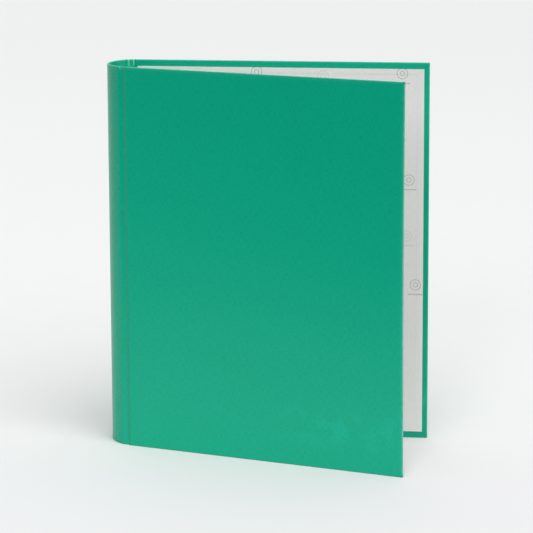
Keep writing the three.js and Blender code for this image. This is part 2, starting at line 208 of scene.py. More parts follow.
def bent(corners, step=0.5):
    """Points along straight runs joined by bends: corners are (u, w, z, bend radius) in mm of the mechanism."""
    P = [Vector(c[:3]) for c in corners]
    out = [P[0]]
    for i in range(1, len(P) - 1):
        R = corners[i][3]
        if R <= 0:
            out.append(P[i])
            continue
        a, b = (P[i - 1] - P[i]).normalized(), (P[i + 1] - P[i]).normalized()
        half = a.angle(b) / 2
        cut = R / math.tan(half)
        c = P[i] + (a + b).normalized() * (R / math.sin(half))
        v0, v1 = P[i] + a * cut - c, P[i] + b * cut - c
        total = v0.angle(v1)
        axis = v0.cross(v1).normalized()
        n = max(5, int(total * R / step))
        for k in range(n + 1):
            out.append(c + Matrix.Rotation(total * k / n, 3, axis) @ v0)
    out.append(P[-1])
    full = [out[0]]
    for p in out[1:]:
        d = (p - full[-1]).length
        if d < 1e-4:
            continue
        n = max(1, int(d / 4.0))
        q = full[-1]
        for k in range(1, n + 1):
            full.append(q.lerp(p, k / n))
    return full


def plate(name, outlines, thick, bevel, mat, place, segments=2, sharp=50):
    """Flat or profile piece cut from sheet: outlines in mm with true outer edges, rounded all round by bevel."""
    cu = bpy.data.curves.new(name, "CURVE")
    cu.dimensions = "2D"
    cu.fill_mode = "BOTH"
    cu.extrude = (thick / 2 - bevel) * MM
    cu.bevel_depth = bevel * MM
    cu.bevel_resolution = segments
    cu.offset = -bevel * MM
    for line in outlines:
        sp = cu.splines.new("POLY")
        sp.points.add(len(line) - 1)
        for p, (x, y) in zip(sp.points, line):
            p.co = (x * MM, y * MM, 0, 1)
        sp.use_cyclic_u = True
    tmp = bpy.data.objects.new(name + "_curve", cu)
    bpy.context.scene.collection.objects.link(tmp)
    bpy.context.view_layer.update()
    dg = bpy.context.evaluated_depsgraph_get()
    mesh = bpy.data.meshes.new_from_object(tmp.evaluated_get(dg), depsgraph=dg)
    bpy.data.objects.remove(tmp)
    bpy.data.curves.remove(cu)
    mesh.name = name
    mesh.transform(place)
    obj = bpy.data.objects.new(name, mesh)
    bpy.context.scene.collection.objects.link(obj)
    mesh.materials.clear()
    mesh.materials.append(mat)
    tidy(obj, 2e-6, sharp)
    return weighted(obj)


def face_on(w0, w1):
    """Placement for outlines in (u, z), filling from w0 to w1 above the lining."""
    y = Y0 - (FACE + (w0 + w1) / 2) * MM
    return Matrix(((1, 0, 0, X0), (0, 0, -1, y), (0, 1, 0, 0), (0, 0, 0, 1)))


def side_on(z0, z1):
    """Placement for outlines in (u, w), filling from z0 to z1."""
    return Matrix(((1, 0, 0, X0), (0, -1, 0, Y0 - FACE * MM), (0, 0, -1, (z0 + z1) / 2 * MM), (0, 0, 0, 1)))


def circle(cx, cy, r, n=28):
    return [(cx + r * math.cos(2 * math.pi * k / n), cy + r * math.sin(2 * math.pi * k / n)) for k in range(n)]


def rounded(points, n=6):
    """Polygon (x, y, radius) with its corners rounded."""
    out = []
    m = len(points)
    for i in range(m):
        x, y, r = points[i]
        p = Vector((x, y))
        a = Vector(points[i - 1][:2]) - p
        b = Vector(points[(i + 1) % m][:2]) - p
        if r <= 0:
            out.append((x, y))
            continue
        half = a.angle(b) / 2
        cut = min(r / math.tan(half), a.length * 0.49, b.length * 0.49)
        r = cut * math.tan(half)
        a.normalize(), b.normalize()
        c = p + (a + b).normalized() * (r / math.sin(half))
        v0, v1 = p + a * cut - c, p + b * cut - c
        a0 = math.atan2(v0.y, v0.x)
        d = math.atan2(v1.y, v1.x) - a0
        while d > math.pi:
            d -= 2 * math.pi
        while d < -math.pi:
            d += 2 * math.pi
        for k in range(n + 1):
            t = a0 + d * k / n
            out.append((c.x + r * math.cos(t), c.y + r * math.sin(t)))
    return out


def lathe(name, profile, place, mat, segments=40, sharp=35, **kw):
    """Turned piece: profile (radius, height) in mm, on the axis at both ends, or closed on itself for a ring."""
    ring = profile[0][0] > 1e-6
    verts, faces, rows = [], [], []
    for r, h in profile:
        if r < 1e-6:
            rows.append([len(verts)])
            verts.append(place @ Vector((0, 0, h * MM)))
        else:
            rows.append(list(range(len(verts), len(verts) + segments)))
            verts += [place @ Vector((r * MM * math.cos(2 * math.pi * k / segments), r * MM * math.sin(2 * math.pi * k / segments), h * MM)) for k in range(segments)]
    pairs = list(zip(rows, rows[1:])) + ([(rows[-1], rows[0])] if ring else [])
    for a, b in pairs:
        for k in range(segments):
            k2 = (k + 1) % segments
            if len(a) == 1:
                faces.append((a[0], b[k2], b[k]))
            elif len(b) == 1:
                faces.append((a[k], a[k2], b[0]))
            else:
                faces.append((a[k], a[k2], b[k2], b[k]))
    return build(name, verts, faces, mat, sharp=sharp, **kw)


def along_w(u, z):
    """Axis of a turned piece standing on the lining at (u, z)."""
    return Matrix.Translation(mech(u, 0, z)) @ Matrix.Rotation(math.radians(90), 4, "X")


def along_z(u, w, z=0.0):
    return Matrix.Translation(mech(u, w, z))


def cut(obj, *cutters):
    for c in cutters:
        m = obj.modifiers.new("cut", "BOOLEAN")
        m.operation = "DIFFERENCE"
        m.solver = "EXACT"
        m.object = c
    applied(obj, sharp=40, weld=1e-6)
    for c in cutters:
        bpy.data.objects.remove(c)
    return obj


def fillet(pts, r, n=4):
    """Open profile of (r, h) points with its inner corners rounded."""
    out = [pts[0]]
    for i in range(1, len(pts) - 1):
        p = Vector(pts[i])
        a, b = Vector(pts[i - 1]) - p, Vector(pts[i + 1]) - p
        ang = a.angle(b)
        if ang > math.radians(170) or r <= 0:
            out.append(tuple(p))
            continue
        cutlen = min(r / math.tan(ang / 2), a.length * 0.45, b.length * 0.45)
        rr = cutlen * math.tan(ang / 2)
        a.normalize(), b.normalize()
        c = p + (a + b).normalized() * (rr / math.sin(ang / 2))
        v0, v1 = p + a * cutlen - c, p + b * cutlen - c
        a0 = math.atan2(v0.y, v0.x)
        d = math.atan2(v1.y, v1.x) - a0
        while d > math.pi:
            d -= 2 * math.pi
        while d < -math.pi:
            d += 2 * math.pi
        for k in range(n + 1):
            t = a0 + d * k / n
            out.append((max(c.x + rr * math.cos(t), 0.0), c.y + rr * math.sin(t)))
    out.append(pts[-1])
    return out


# ------------------------------------------------------------------ materials
class Nodes:
    def __init__(self, name):
        self.mat = bpy.data.materials.new(name)
        self.mat.use_nodes = True
        self.t = self.mat.node_tree
        self.t.nodes.clear()
        self.out = self.t.nodes.new("ShaderNodeOutputMaterial")
        self.bsdf = self.t.nodes.new("ShaderNodeBsdfPrincipled")
        self.t.links.new(self.bsdf.outputs[0], self.out.inputs["Surface"])

    def node(self, kind, **settings):
        n = self.t.nodes.new(kind)
        for k, v in settings.items():
            setattr(n, k, v)
        return n

    def link(self, a, b):
        self.t.links.new(a, b)

    def value(self, socket, v):
        if hasattr(v, "is_linked") or isinstance(v, bpy.types.NodeSocket):
            self.link(v, socket)
        else:
            socket.default_value = v

    def math(self, op, a, b=0.0, c=None, clamp=False):
        n = self.node("ShaderNodeMath", operation=op, use_clamp=clamp)
        self.value(n.inputs[0], a)
        self.value(n.inputs[1], b)
        if c is not None:
            self.value(n.inputs[2], c)
        return n.outputs[0]

    def coords(self, attribute=None):
        if attribute:
            return self.node("ShaderNodeAttribute", attribute_name=attribute).outputs["Vector"]
        return self.node("ShaderNodeTexCoord").outputs["Object"]

    def fac(self, attribute):
        return self.node("ShaderNodeAttribute", attribute_name=attribute).outputs["Fac"]

    def scale(self, vec, s):
        n = self.node("ShaderNodeVectorMath", operation="MULTIPLY")
        self.link(vec, n.inputs[0])
        n.inputs[1].default_value = s
        return n.outputs[0]

    def noise(self, vec, scale, detail=2.0, rough=0.5, distortion=0.0):
        n = self.node("ShaderNodeTexNoise")
        self.link(vec, n.inputs["Vector"])
        n.inputs["Scale"].default_value = scale
        n.inputs["Detail"].default_value = detail
        n.inputs["Roughness"].default_value = rough
        n.inputs["Distortion"].default_value = distortion
        return n.outputs["Fac"]

    def span(self, v, a, b, c=0.0, d=1.0, interp="LINEAR"):
        n = self.node("ShaderNodeMapRange", interpolation_type=interp)
        self.value(n.inputs["Value"], v)
        for k, x in (("From Min", a), ("From Max", b), ("To Min", c), ("To Max", d)):
            n.inputs[k].default_value = x
        return n.outputs["Result"]

    def mix(self, f, a, b, blend="MIX"):
        n = self.node("ShaderNodeMix", data_type="RGBA", blend_type=blend)
        self.value(n.inputs["Factor"], f)
        for s, v in ((n.inputs["A"], a), (n.inputs["B"], b)):
            if isinstance(v, tuple):
                s.default_value = (*v, 1.0) if len(v) == 3 else v
            else:
                self.link(v, s)
        return n.outputs["Result"]

    def bump(self, height, distance, strength=1.0, normal=None):
        n = self.node("ShaderNodeBump")
        n.inputs["Strength"].default_value = strength
        n.inputs["Distance"].default_value = distance
        self.link(height, n.inputs["Height"])
        if normal is not None:
            self.link(normal, n.inputs["Normal"])
        return n.outputs["Normal"]

    def set(self, **kw):
        for k, v in kw.items():
            self.value(self.bsdf.inputs[k.replace("_", " ")], v)
        return self.mat


def separate(m, vec):
    n = m.node("ShaderNodeSeparateXYZ")
    m.link(vec, n.inputs[0])
    return n.outputs


def cover_paper():
    """Green covering paper with a fine linen emboss, slightly glossy, a little paler where edges are rubbed, with
    painted highlights on lit edges and folds and painted shade at corners, mitres and creases.
    """
    m = Nodes("green_linen_paper")
    flat = m.coords("flat")
    # threads: streaks that run along one direction and vary quickly across it
    warp = m.noise(m.scale(flat, (2300.0, 210.0, 1.0)), 1.0, 2.0, 0.6)
    weft = m.noise(m.scale(flat, (230.0, 2300.0, 1.0)), 1.0, 2.0, 0.6)
    xyz = separate(m, flat)
    pitch = 2 * math.pi / 0.00052
    wx = m.math("SINE", m.math("MULTIPLY", m.math("ADD", xyz[0], m.math("MULTIPLY", warp, 0.00012)), pitch))
    wz = m.math("SINE", m.math("MULTIPLY", m.math("ADD", xyz[1], m.math("MULTIPLY", weft, 0.00012)), pitch))
    weave = m.math("MULTIPLY", wx, wz)
    threads = m.math("ADD", m.math("MULTIPLY", warp, 0.5), m.math("MULTIPLY", weft, 0.5))
    cloud = m.noise(flat, 14.0, 3.0, 0.55)
    tone = m.span(threads, 0.36, 0.64)
    base = m.mix(tone, (0.0, 0.327, 0.190), (0.0004, 0.411, 0.248))
    base = m.mix(m.span(cloud, 0.3, 0.7, 0.0, 0.35), base, (0.0, 0.380, 0.240))
    specks = m.span(m.noise(flat, 1500.0, 2.0, 0.7), 0.70, 0.80, 0.0, 0.25)
    base = m.mix(specks, base, (0.008, 0.45, 0.31))
    # paler where edges are rubbed, plus a painted highlight along lit edges and the joint's folds
    unevenness = m.noise(flat, 220.0, 4.0, 0.65)
    edge = m.fac("edge")
    wear_and_highlight = m.math("MAXIMUM", m.math("MULTIPLY", edge, m.span(unevenness, 0.34, 0.62, 0.35, 1.0)), 0.0)
    base = m.mix(m.math("MULTIPLY", wear_and_highlight, 0.44), base, (0.30, 0.70, 0.57))
    # painted shade: darker at the folded corners and along the mitres, and wherever the edge value is below zero (the
    # joint's pressed line, the standing edge, the turned-in edge low down)
    out_x = m.math("SUBTRACT", W * MM, xyz[0])
    out_z = m.math("MINIMUM", xyz[1], m.math("SUBTRACT", H * MM, xyz[1]))
    far = m.math("SQRT", m.math("ADD", m.math("MULTIPLY", out_x, out_x), m.math("MULTIPLY", out_z, out_z)))
    painted_shade = m.math("SUBTRACT", 1.0, m.span(far, 0.0007, 0.0023), clamp=True)
    painted_shade = m.math("MAXIMUM", m.math("MULTIPLY", painted_shade, 0.75), m.math("MULTIPLY", edge, -0.55), clamp=True)
    base = m.mix(painted_shade, base, (0.0, 0.135, 0.085))
    # handling marks low on the cover, towards its free edge
    reach = m.math("MULTIPLY", m.span(xyz[0], 0.12, 0.17), m.math("SUBTRACT", 1.0, m.span(m.math("ABSOLUTE", m.math("SUBTRACT", xyz[1], 0.034)), 0.006, 0.020), clamp=True), clamp=True)
    smudge = m.math("MULTIPLY", m.span(m.noise(flat, 75.0, 5.0, 0.62, 0.4), 0.50, 0.56), reach)
    base = m.mix(m.math("MULTIPLY", smudge, 0.22), base, (0.012, 0.52, 0.36))
    height = m.math("ADD", m.math("MULTIPLY", weave, 0.35), m.math("MULTIPLY", threads, 1.4))
    normal = m.bump(height, 0.00003, 0.55)
    rough = m.math("ADD", m.span(threads, 0.3, 0.7, 0.25, 0.33), m.math("MULTIPLY", m.math("ADD", m.math("MULTIPLY", wear_and_highlight, 0.3), painted_shade), 0.5))
    return m.set(Base_Color=base, Roughness=rough, Normal=normal, Specular_IOR_Level=0.26)


MOTIF = (0.2312, 0.2215)  # one motif of the lining print, from the crease and up


def lining_paper():
    """Pale grey lining paper printed with a faint repeat of a plain ring over a short bar."""
    m = Nodes("grey_lining_paper")
    flat = m.coords("flat")
    xyz = separate(m, flat)
    # the repeat is a leaning lattice: columns p apart whose motifs are q apart and step sideways by lean
    p, q, lean, lift = 0.0290, 0.0892, -0.0059, 0.0223

    def motif(x0, z0):
        col = m.math("ROUND", m.math("DIVIDE", m.math("SUBTRACT", m.math("SUBTRACT", xyz[0], x0), m.math("MULTIPLY", m.math("SUBTRACT", xyz[1], z0), lean / q)), p))
        zc = m.math("SUBTRACT", m.math("SUBTRACT", xyz[1], z0), m.math("MULTIPLY", col, lift))
        row = m.math("ROUND", m.math("DIVIDE", zc, q))
        zl = m.math("SUBTRACT", zc, m.math("MULTIPLY", row, q))
        xl = m.math("SUBTRACT", m.math("SUBTRACT", m.math("SUBTRACT", xyz[0], x0), m.math("MULTIPLY", col, p - lift * lean / q)), m.math("MULTIPLY", m.math("ADD", row, m.math("MULTIPLY", col, lift / q)), lean))
        rad = m.math("SQRT", m.math("ADD", m.math("MULTIPLY", xl, xl), m.math("MULTIPLY", zl, zl)))
        ring = m.math("SUBTRACT", 1.0, m.span(m.math("ABSOLUTE", m.math("SUBTRACT", rad, 0.0044)), 0.0002, 0.0005), clamp=True)
        inner = m.math("SUBTRACT", 1.0, m.span(m.math("ABSOLUTE", m.math("SUBTRACT", rad, 0.0019)), 0.0002, 0.0005), clamp=True)
        bz = m.math("ABSOLUTE", m.math("ADD", zl, 0.0082))
        bx = m.math("ABSOLUTE", xl)
        bar = m.math("MULTIPLY", m.math("SUBTRACT", 1.0, m.span(bz, 0.0003, 0.0007), clamp=True), m.math("SUBTRACT", 1.0, m.span(bx, 0.0060, 0.0066), clamp=True))
        return m.math("MAXIMUM", m.math("MAXIMUM", ring, inner), bar)

    ink = m.math("MAXIMUM", motif(MOTIF[0], MOTIF[1]), m.math("MULTIPLY", motif(MOTIF[0] - 0.0022, MOTIF[1] - 0.0475), 0.42))
    patchy = m.math("MULTIPLY", m.span(m.noise(flat, 900.0, 3.0, 0.7), 0.30, 0.62, 0.35, 1.0), m.span(xyz[1], 0.098, 0.112))  # the foot is left unprinted
    fibre = m.noise(m.scale(flat, (900.0, 260.0, 1.0)), 1.0, 3.0, 0.6)
    fleck = m.span(m.noise(flat, 1300.0, 2.0, 0.8), 0.66, 0.78, 0.0, 0.5)
    base = m.mix(m.span(fibre, 0.3, 0.7), (0.678, 0.682, 0.661), (0.735, 0.737, 0.720))
    base = m.mix(fleck, base, (0.61, 0.61, 0.585))
    base = m.mix(m.math("MULTIPLY", m.math("MULTIPLY", ink, patchy), 0.75), base, (0.22, 0.23, 0.23))
    cloud = m.noise(flat, 22.0, 3.0, 0.5)
    base = m.mix(m.span(cloud, 0.35, 0.7, 0.0, 0.25), base, (0.745, 0.747, 0.735))
    normal = m.bump(m.math("ADD", fibre, m.noise(flat, 2200.0, 2.0, 0.6)), 0.00002, 0.5)
    rough = m.span(fibre, 0.3, 0.7, 0.72, 0.86)
    return m.set(Base_Color=base, Roughness=rough, Normal=normal, Specular_IOR_Level=0.3)


def grey_board():
    m = Nodes("grey_board")
    c = m.coords()
    layers = m.noise(m.scale(c, (300.0, 2600.0, 300.0)), 1.0, 3.0, 0.6)
    fleck = m.span(m.noise(c, 1500.0, 3.0, 0.75), 0.58, 0.72)
    base = m.mix(m.span(layers, 0.3, 0.7), (0.24, 0.22, 0.19), (0.36, 0.34, 0.30))
    base = m.mix(m.math("MULTIPLY", fleck, 0.5), base, (0.12, 0.11, 0.10))
    return m.set(Base_Color=base, Roughness=m.span(layers, 0.2, 0.8, 0.85, 0.97), Normal=m.bump(layers, 0.00006, 0.7))


def steel(name, base, rough, brushed=None):
    """Nickel-plated steel with fine drawing lines, faint handling marks and slightly uneven plating."""
    m = Nodes(name)
    c = m.coords()
    lines = m.noise(m.scale(c, brushed or (900.0, 900.0, 120.0)), 1.0, 3.0, 0.6)
    smear = m.noise(c, 90.0, 4.0, 0.6)
    scratch = m.span(m.noise(m.scale(c, (260.0, 260.0, 4200.0)), 1.0, 1.0, 0.5, 0.6), 0.68, 0.74)
    dark = tuple(x * 0.86 for x in base)
    col = m.mix(m.span(smear, 0.3, 0.7), dark, base)
    col = m.mix(m.math("MULTIPLY", scratch, 0.25), col, tuple(min(1, x * 1.15) for x in base))
    r = m.math("ADD", m.span(smear, 0.3, 0.75, rough * 0.8, rough * 1.35), m.math("MULTIPLY", scratch, 0.08))
    height = m.math("ADD", m.math("MULTIPLY", lines, 0.6), m.math("MULTIPLY", scratch, -0.4))
    return m.set(Base_Color=col, Metallic=1.0, Roughness=r, Normal=m.bump(height, 0.000012, 0.5))


def black_plastic():
    m = Nodes("black_moulded_plastic")
    c = m.coords()
    grain = m.noise(c, 2600.0, 2.0, 0.6)
    tone = m.noise(c, 160.0, 3.0, 0.5)
    base = m.mix(m.span(tone, 0.3, 0.7), (0.012, 0.012, 0.013), (0.022, 0.022, 0.024))
    return m.set(Base_Color=base, Roughness=m.span(grain, 0.3, 0.7, 0.38, 0.52), Normal=m.bump(grain, 0.00003, 0.6))


GREEN = cover_paper()
LINING = lining_paper()
BOARD = grey_board()
BRIGHT = steel("bright_nickel", (0.80, 0.80, 0.79), 0.16)
PLATED = steel("satin_zinc", (0.66, 0.67, 0.68), 0.32)
PLASTIC = black_plastic()

# ------------------------------------------------------------------ the plan line of the covering
CHORD = CLOSED - 2 * INSET
SR = (CHORD * CHORD / 4 + BULGE * BULGE) / (2 * BULGE)
SA = math.asin(CHORD / 2 / SR)
SX, SY = -CREASE - BULGE + SR, -CLOSED / 2


def spline(points, n=10):
    """Smooth line through points (centripetal enough for evenly spaced ones)."""
    out = []
    P = [Vector(p) for p in points]
    P = [P[0] * 2 - P[1]] + P + [P[-1] * 2 - P[-2]]
    for i in range(1, len(P) - 2):
        p0, p1, p2, p3 = P[i - 1], P[i], P[i + 1], P[i + 2]
        for k in range(n):
            t = k / n
            out.append(0.5 * ((2 * p1) + (p2 - p0) * t + (2 * p0 - 5 * p1 + 4 * p2 - p3) * t * t + (3 * p1 - p0 - 3 * p2 + p3) * t ** 3))
    out.append(P[-2])
    return [tuple(p) for p in out]


def arc_point(t):
    return (SX - SR * math.cos(t), SY + SR * math.sin(t))


# from the cover's edge down into the groove and up on to the spine's edge, back cover's side
GROOVE = spline([(2.2, 0.0), (1.5, 0.0), (0.75, -0.05), (0.1, -0.28), (-0.6, -0.66), (-1.5, -1.0), (-2.7, -1.2), (-3.9, -1.33), (-5.0, -1.62), (-6.0, -2.0),
                 arc_point(SA), arc_point(SA - 0.03), arc_point(SA - 0.06)], 8)
g_end = GROOVE.index(min(GROOVE, key=lambda p: math.hypot(p[0] - arc_point(SA)[0], p[1] - arc_point(SA)[1])))
GROOVE = GROOVE[: g_end + 1]


class Line:
    """A plan polyline measured by length from its start, which gives points and outward normals."""

    def __init__(self, pts):
        self.p = [Vector(p) for p in pts]
        self.s = [0.0]
        for a, b in zip(self.p, self.p[1:]):
            self.s.append(self.s[-1] + (b - a).length)

    def at(self, s):
        s = max(0.0, min(self.s[-1], s))
        lo_, hi_ = 0, len(self.s) - 1
        while hi_ - lo_ > 1:
            mid = (lo_ + hi_) // 2
            if self.s[mid] <= s:
                lo_ = mid
            else:
                hi_ = mid
        f = (s - self.s[lo_]) / max(self.s[hi_] - self.s[lo_], 1e-9)
        p = self.p[lo_].lerp(self.p[hi_], f)
        a = self.p[max(lo_ - 1, 0)]
        b = self.p[min(hi_ + 1, len(self.p) - 1)]
        a2, b2 = self.p[lo_], self.p[hi_]
        t = ((b - a).normalized() * 0.5 + (b2 - a2).normalized() * 0.5).normalized()
        return p, t


def blended(points, axis, whole, start, end):
    """Turns plan points by a share of an angle that grows along the crease."""
    out = []
    for x, y in points:
        f = smooth((start - x) / (start - end))
        out.append(turn((x, y), axis, whole * f))
    return out


arc_back_to_front = [arc_point(SA - 2 * SA * k / 60) for k in range(61)]
# back cover's crease and the whole spine, in place: the spine stands SPINE_TURN past square
back_line = Line(blended(GROOVE, BACK_AXIS, SPINE_TURN, -0.5, -6.0) + [turn(p, BACK_AXIS, SPINE_TURN) for p in arc_back_to_front[1:]])
LEN_BACK_CREASE = Line(blended(GROOVE, BACK_AXIS, SPINE_TURN, -0.5, -6.0)).s[-1]
# front crease, from the spine's edge to the cover: the mirror image of the back one, opened by COVER_TURN
mirror = [(x, -CLOSED - y) for x, y in reversed(GROOVE)]


def front_place(p, share=1.0):
    return turn(turn(p, FRONT_AXIS, COVER_TURN * share), BACK_AXIS, SPINE_TURN)


front_line = Line([front_place((x, y), smooth((x + 6.0) / 5.5)) for x, y in mirror])
LEN_FRONT_CREASE = front_line.s[-1]


def bow(x, z, size):
    """The board's slight outward bow, most at the free edge's middle."""
    g = 2 * z / H - 1
    return size * (1 - g * g) * smooth(x / W)


def back_surface(s, z, depth):
    """Point of the back covering: s runs from the crease edge over the cover (positive) or over the crease and spine (negative)."""
    if s >= 2.2:
        return plan(s, -depth + bow(s, z, 0.25), z)
    p, t = back_line.at(2.2 - s)
    n = Vector((t.y, -t.x))  # outward: right of the direction of travel
    if n.dot(Vector((-1, 1))) < 0:
        pass
    q = p - n * depth
    return plan(q.x, q.y, z)


def front_surface(s, z, depth):
    """Point of the front covering: s positive over the cover, negative over the front crease."""
    if s >= 2.2:
        x, y = front_place((s, -CLOSED + depth - bow(s, z, 1.2)))
        return plan(x, y, z)
    p, t = front_line.at(LEN_FRONT_CREASE - (2.2 - s))
    n = Vector((t.y, -t.x))
    q = p - n * depth
    return plan(q.x, q.y, z)


def thickness(s, spine):
    """Depth of the covering's turned-in face behind its outer face."""
    if s >= 0.9:
        return THICK
    if s >= -0.9:
        return CREASE_THICK + (THICK - CREASE_THICK) * smooth((s + 0.9) / 1.8)
    if not spine:
        return CREASE_THICK
    edge = 2.2 - LEN_BACK_CREASE
    if s > edge + 0.4:
        return CREASE_THICK
    return CREASE_THICK + (SPINE_THICK - CREASE_THICK) * smooth((edge + 0.4 - s) / 1.5)


def covering(name, surface, stations, thick, mat):
    """Covering paper of one cover and what follows its crease edge: outside, round three edges and turned in inside."""
    cover = [k / 30 for k in range(31)]
    near = (0.25, 0.8, 2.0)
    rows = 40
    rc = 0.9
    arc_n = 4
    profile = []
    R = 0.55
    q = 3.0
    profile.append((3.0, "o", 0.0, 3.0))
    profile.append((R + 0.12, "o", 0.0, R + 0.12))
    steps = 5
    for k in range(steps + 1):
        a = math.radians(90 * k / steps)
        profile.append((R - R * math.sin(a), "o", R - R * math.cos(a), R - R * a))
    base = R - R * math.pi / 2
    for k in range(steps + 1):
        a = math.radians(90 - 90 * k / steps)
        profile.append((R - R * math.sin(a), "i", R - R * math.cos(a), base - (THICK - 2 * R) - R * (math.pi / 2 - a)))
    tail = base - (THICK - 2 * R) - R * math.pi / 2
    for inset in (R + 0.12, 1.5, 3.0, 5.2, 7.5, TURN_IN - 0.12, TURN_IN):
        profile.append((inset, "i", 0.0, tail - (inset - R)))
    verts, flat, edge, loops = [], [], [], []

    def put(s, z, inset, kind, drop, fs, fz, corner=False):
        t = thick(s)
        r = min(1.0, (t / 2 - 0.02) / R)
        d = drop * r if kind == "o" else t - drop * r
        if corner and kind == "i" and inset > 1.0:
            d -= 0.12  # the mitre fold
        if kind == "i" and inset > TURN_IN - 0.1:
            d -= 0.1  # the turned-in edge is pressed down
        verts.append(surface(s, z, d))
        flat.append((fs * MM, fz * MM, 0.0))
        # near an edge the paper is paler where rubbed, with a painted highlight where the edge catches the light
        e = 1.0 - min(1.0, abs(min(inset, 3.0)) / 0.8)
        if z < 1.5:
            e *= -0.55  # painted contact shadow: the standing edge is darkened, not rubbed bright
        if kind == "o" and -2.4 < s < 0.9:
            e = min(e, 0.0) - 0.42 * smooth(1 - abs(s + 0.4) / 1.6)  # painted shade along the pressed line of the joint
        if kind == "i" and inset > 1.0 and s > 10.0:
            e -= 0.42 * smooth((275 - z) / 70)  # painted shade: the turned-in edge is a little darker lower down
        if kind == "i" and z > H - 9:
            e += 1.6 * smooth((z - H + 9) / 5) * (smooth(1 - abs(s + 0.9) / 0.9) + smooth(1 - abs(s + 5.2) / 1.2))  # painted highlight on the joint's folds, down their inner side at the head
        if inset < 0.7 and z > H / 2:
            e += 2.0 * (smooth(1 - abs(s + 1.2) / 0.9) + smooth(1 - abs(s + 5.3) / 0.9))  # painted highlight where the joint's folds stand up
        # the mitre folds inside the corners get painted shade
        edge.append(-1.0 if corner and kind == "i" and inset > 1.0 else e)
        return len(verts) - 1

    for inset, kind, drop, unrolled in profile:
        loop = []
        r = max(rc - inset, 0.0)
        ru = max(rc - unrolled, 0.0)
        end, endu = W - inset - r, W - unrolled - ru
        span, spanu = H - 2 * (inset + r), H - 2 * (unrolled + ru)
        along = cover[:-1] + [1 - d / end for d in reversed(near)] + [1.0]
        up = [d / span for d in near] + [k / rows for k in range(1, rows)] + [1 - d / span for d in reversed(near)]
        for s in stations:
            loop.append(put(s, inset, inset, kind, drop, s, unrolled))
        for f in along[1:]:
            loop.append(put(f * end, inset, inset, kind, drop, f * endu, unrolled))
        for k in range(1, arc_n + 1):
            a = math.radians(-90 + 90 * k / arc_n)
            loop.append(put(end + r * math.cos(a), inset + r + r * math.sin(a), inset, kind, drop, endu + ru * math.cos(a), unrolled + ru + ru * math.sin(a), True))
        for g in up:
            loop.append(put(W - inset, inset + r + g * span, inset, kind, drop, W - unrolled, unrolled + ru + g * spanu))
        for k in range(0, arc_n + 1):
            a = math.radians(90 * k / arc_n)
            loop.append(put(end + r * math.cos(a), H - inset - r + r * math.sin(a), inset, kind, drop, endu + ru * math.cos(a), H - unrolled - ru + ru * math.sin(a), k < arc_n))
        for f in reversed(along[1:-1]):
            loop.append(put(f * end, H - inset, inset, kind, drop, f * endu, H - unrolled))
        for s in reversed(stations):
            loop.append(put(s, H - inset, inset, kind, drop, s, H - unrolled))
        loops.append(loop)
    faces = []
    for a, b in zip(loops, loops[1:]):
        for k in range(len(a) - 1):
            faces.append((a[k], a[k + 1], b[k + 1], b[k]))
    # the outside, between the first loop's two long sides
    inset = 3.0
    end, span = W - inset, H - 2 * inset
    cols = list(stations) + [f * end for f in cover[1:-1] + [1 - d / end for d in reversed(near)] + [1.0]]
    ups = [0.0] + [d / span for d in near] + [k / rows for k in range(1, rows)] + [1 - d / span for d in reversed(near)] + [1.0]
    grid = []
    for s in cols:
        grid.append([put(s, inset + g * span, inset, "o", 0.0, s, inset + g * span) for g in ups])
    for a, b in zip(grid, grid[1:]):
        for k in range(len(ups) - 1):
            faces.append((a[k], a[k + 1], b[k + 1], b[k]))
    obj = build(name, verts, faces, mat, attrs={"flat": flat, "edge": edge}, weld=4e-6, sharp=70)
    return obj


def paper_thickness(obj, outward, t=PAPER):
    """Turns a sheet whose faces look outward into paper of thickness t behind it."""
    bm = bmesh.new()
    bm.from_mesh(obj.data)
    f = max(bm.faces, key=lambda f: f.calc_area())
    if f.normal.dot(outward) < 0:
        bmesh.ops.reverse_faces(bm, faces=bm.faces)
    bm.to_mesh(obj.data)
    bm.free()
    m = obj.modifiers.new("paper", "SOLIDIFY")
    m.thickness = t * MM
    m.offset = -1.0
    m.use_even_offset = True
    m.use_quality_normals = True
    m.use_rim = True
    return applied(obj, sharp=70)


arc_len = 2 * SA * SR
back_edge = 2.2 - LEN_BACK_CREASE
back_stations = [back_edge - arc_len * k / 44 for k in range(44, 0, -1)] + [back_edge + LEN_BACK_CREASE * k / 26 for k in range(0, 26)]
back_stations = [s for s in back_stations if s < 2.15] + [2.2]
back_cov = covering("back_covering", back_surface, back_stations, lambda s: thickness(s, True), GREEN)
paper_thickness(back_cov, Vector((0, 1, 0)))
front_edge = 2.2 - LEN_FRONT_CREASE
front_stations = [front_edge + LEN_FRONT_CREASE * k / 26 for k in range(0, 26)] + [2.2]


def front_thick(s):
    edge = front_edge
    t = thickness(s, False)
    if s < edge + 1.9:
        t = CREASE_THICK + (SPINE_THICK - CREASE_THICK) * smooth((edge + 1.1 - s) / 1.5)
    return t


front_cov = covering("front_covering", front_surface, front_stations, front_thick, GREEN)
fn = Vector((math.sin(SPINE_TURN + COVER_TURN), -math.cos(SPINE_TURN + COVER_TURN), 0))
paper_thickness(front_cov, fn)

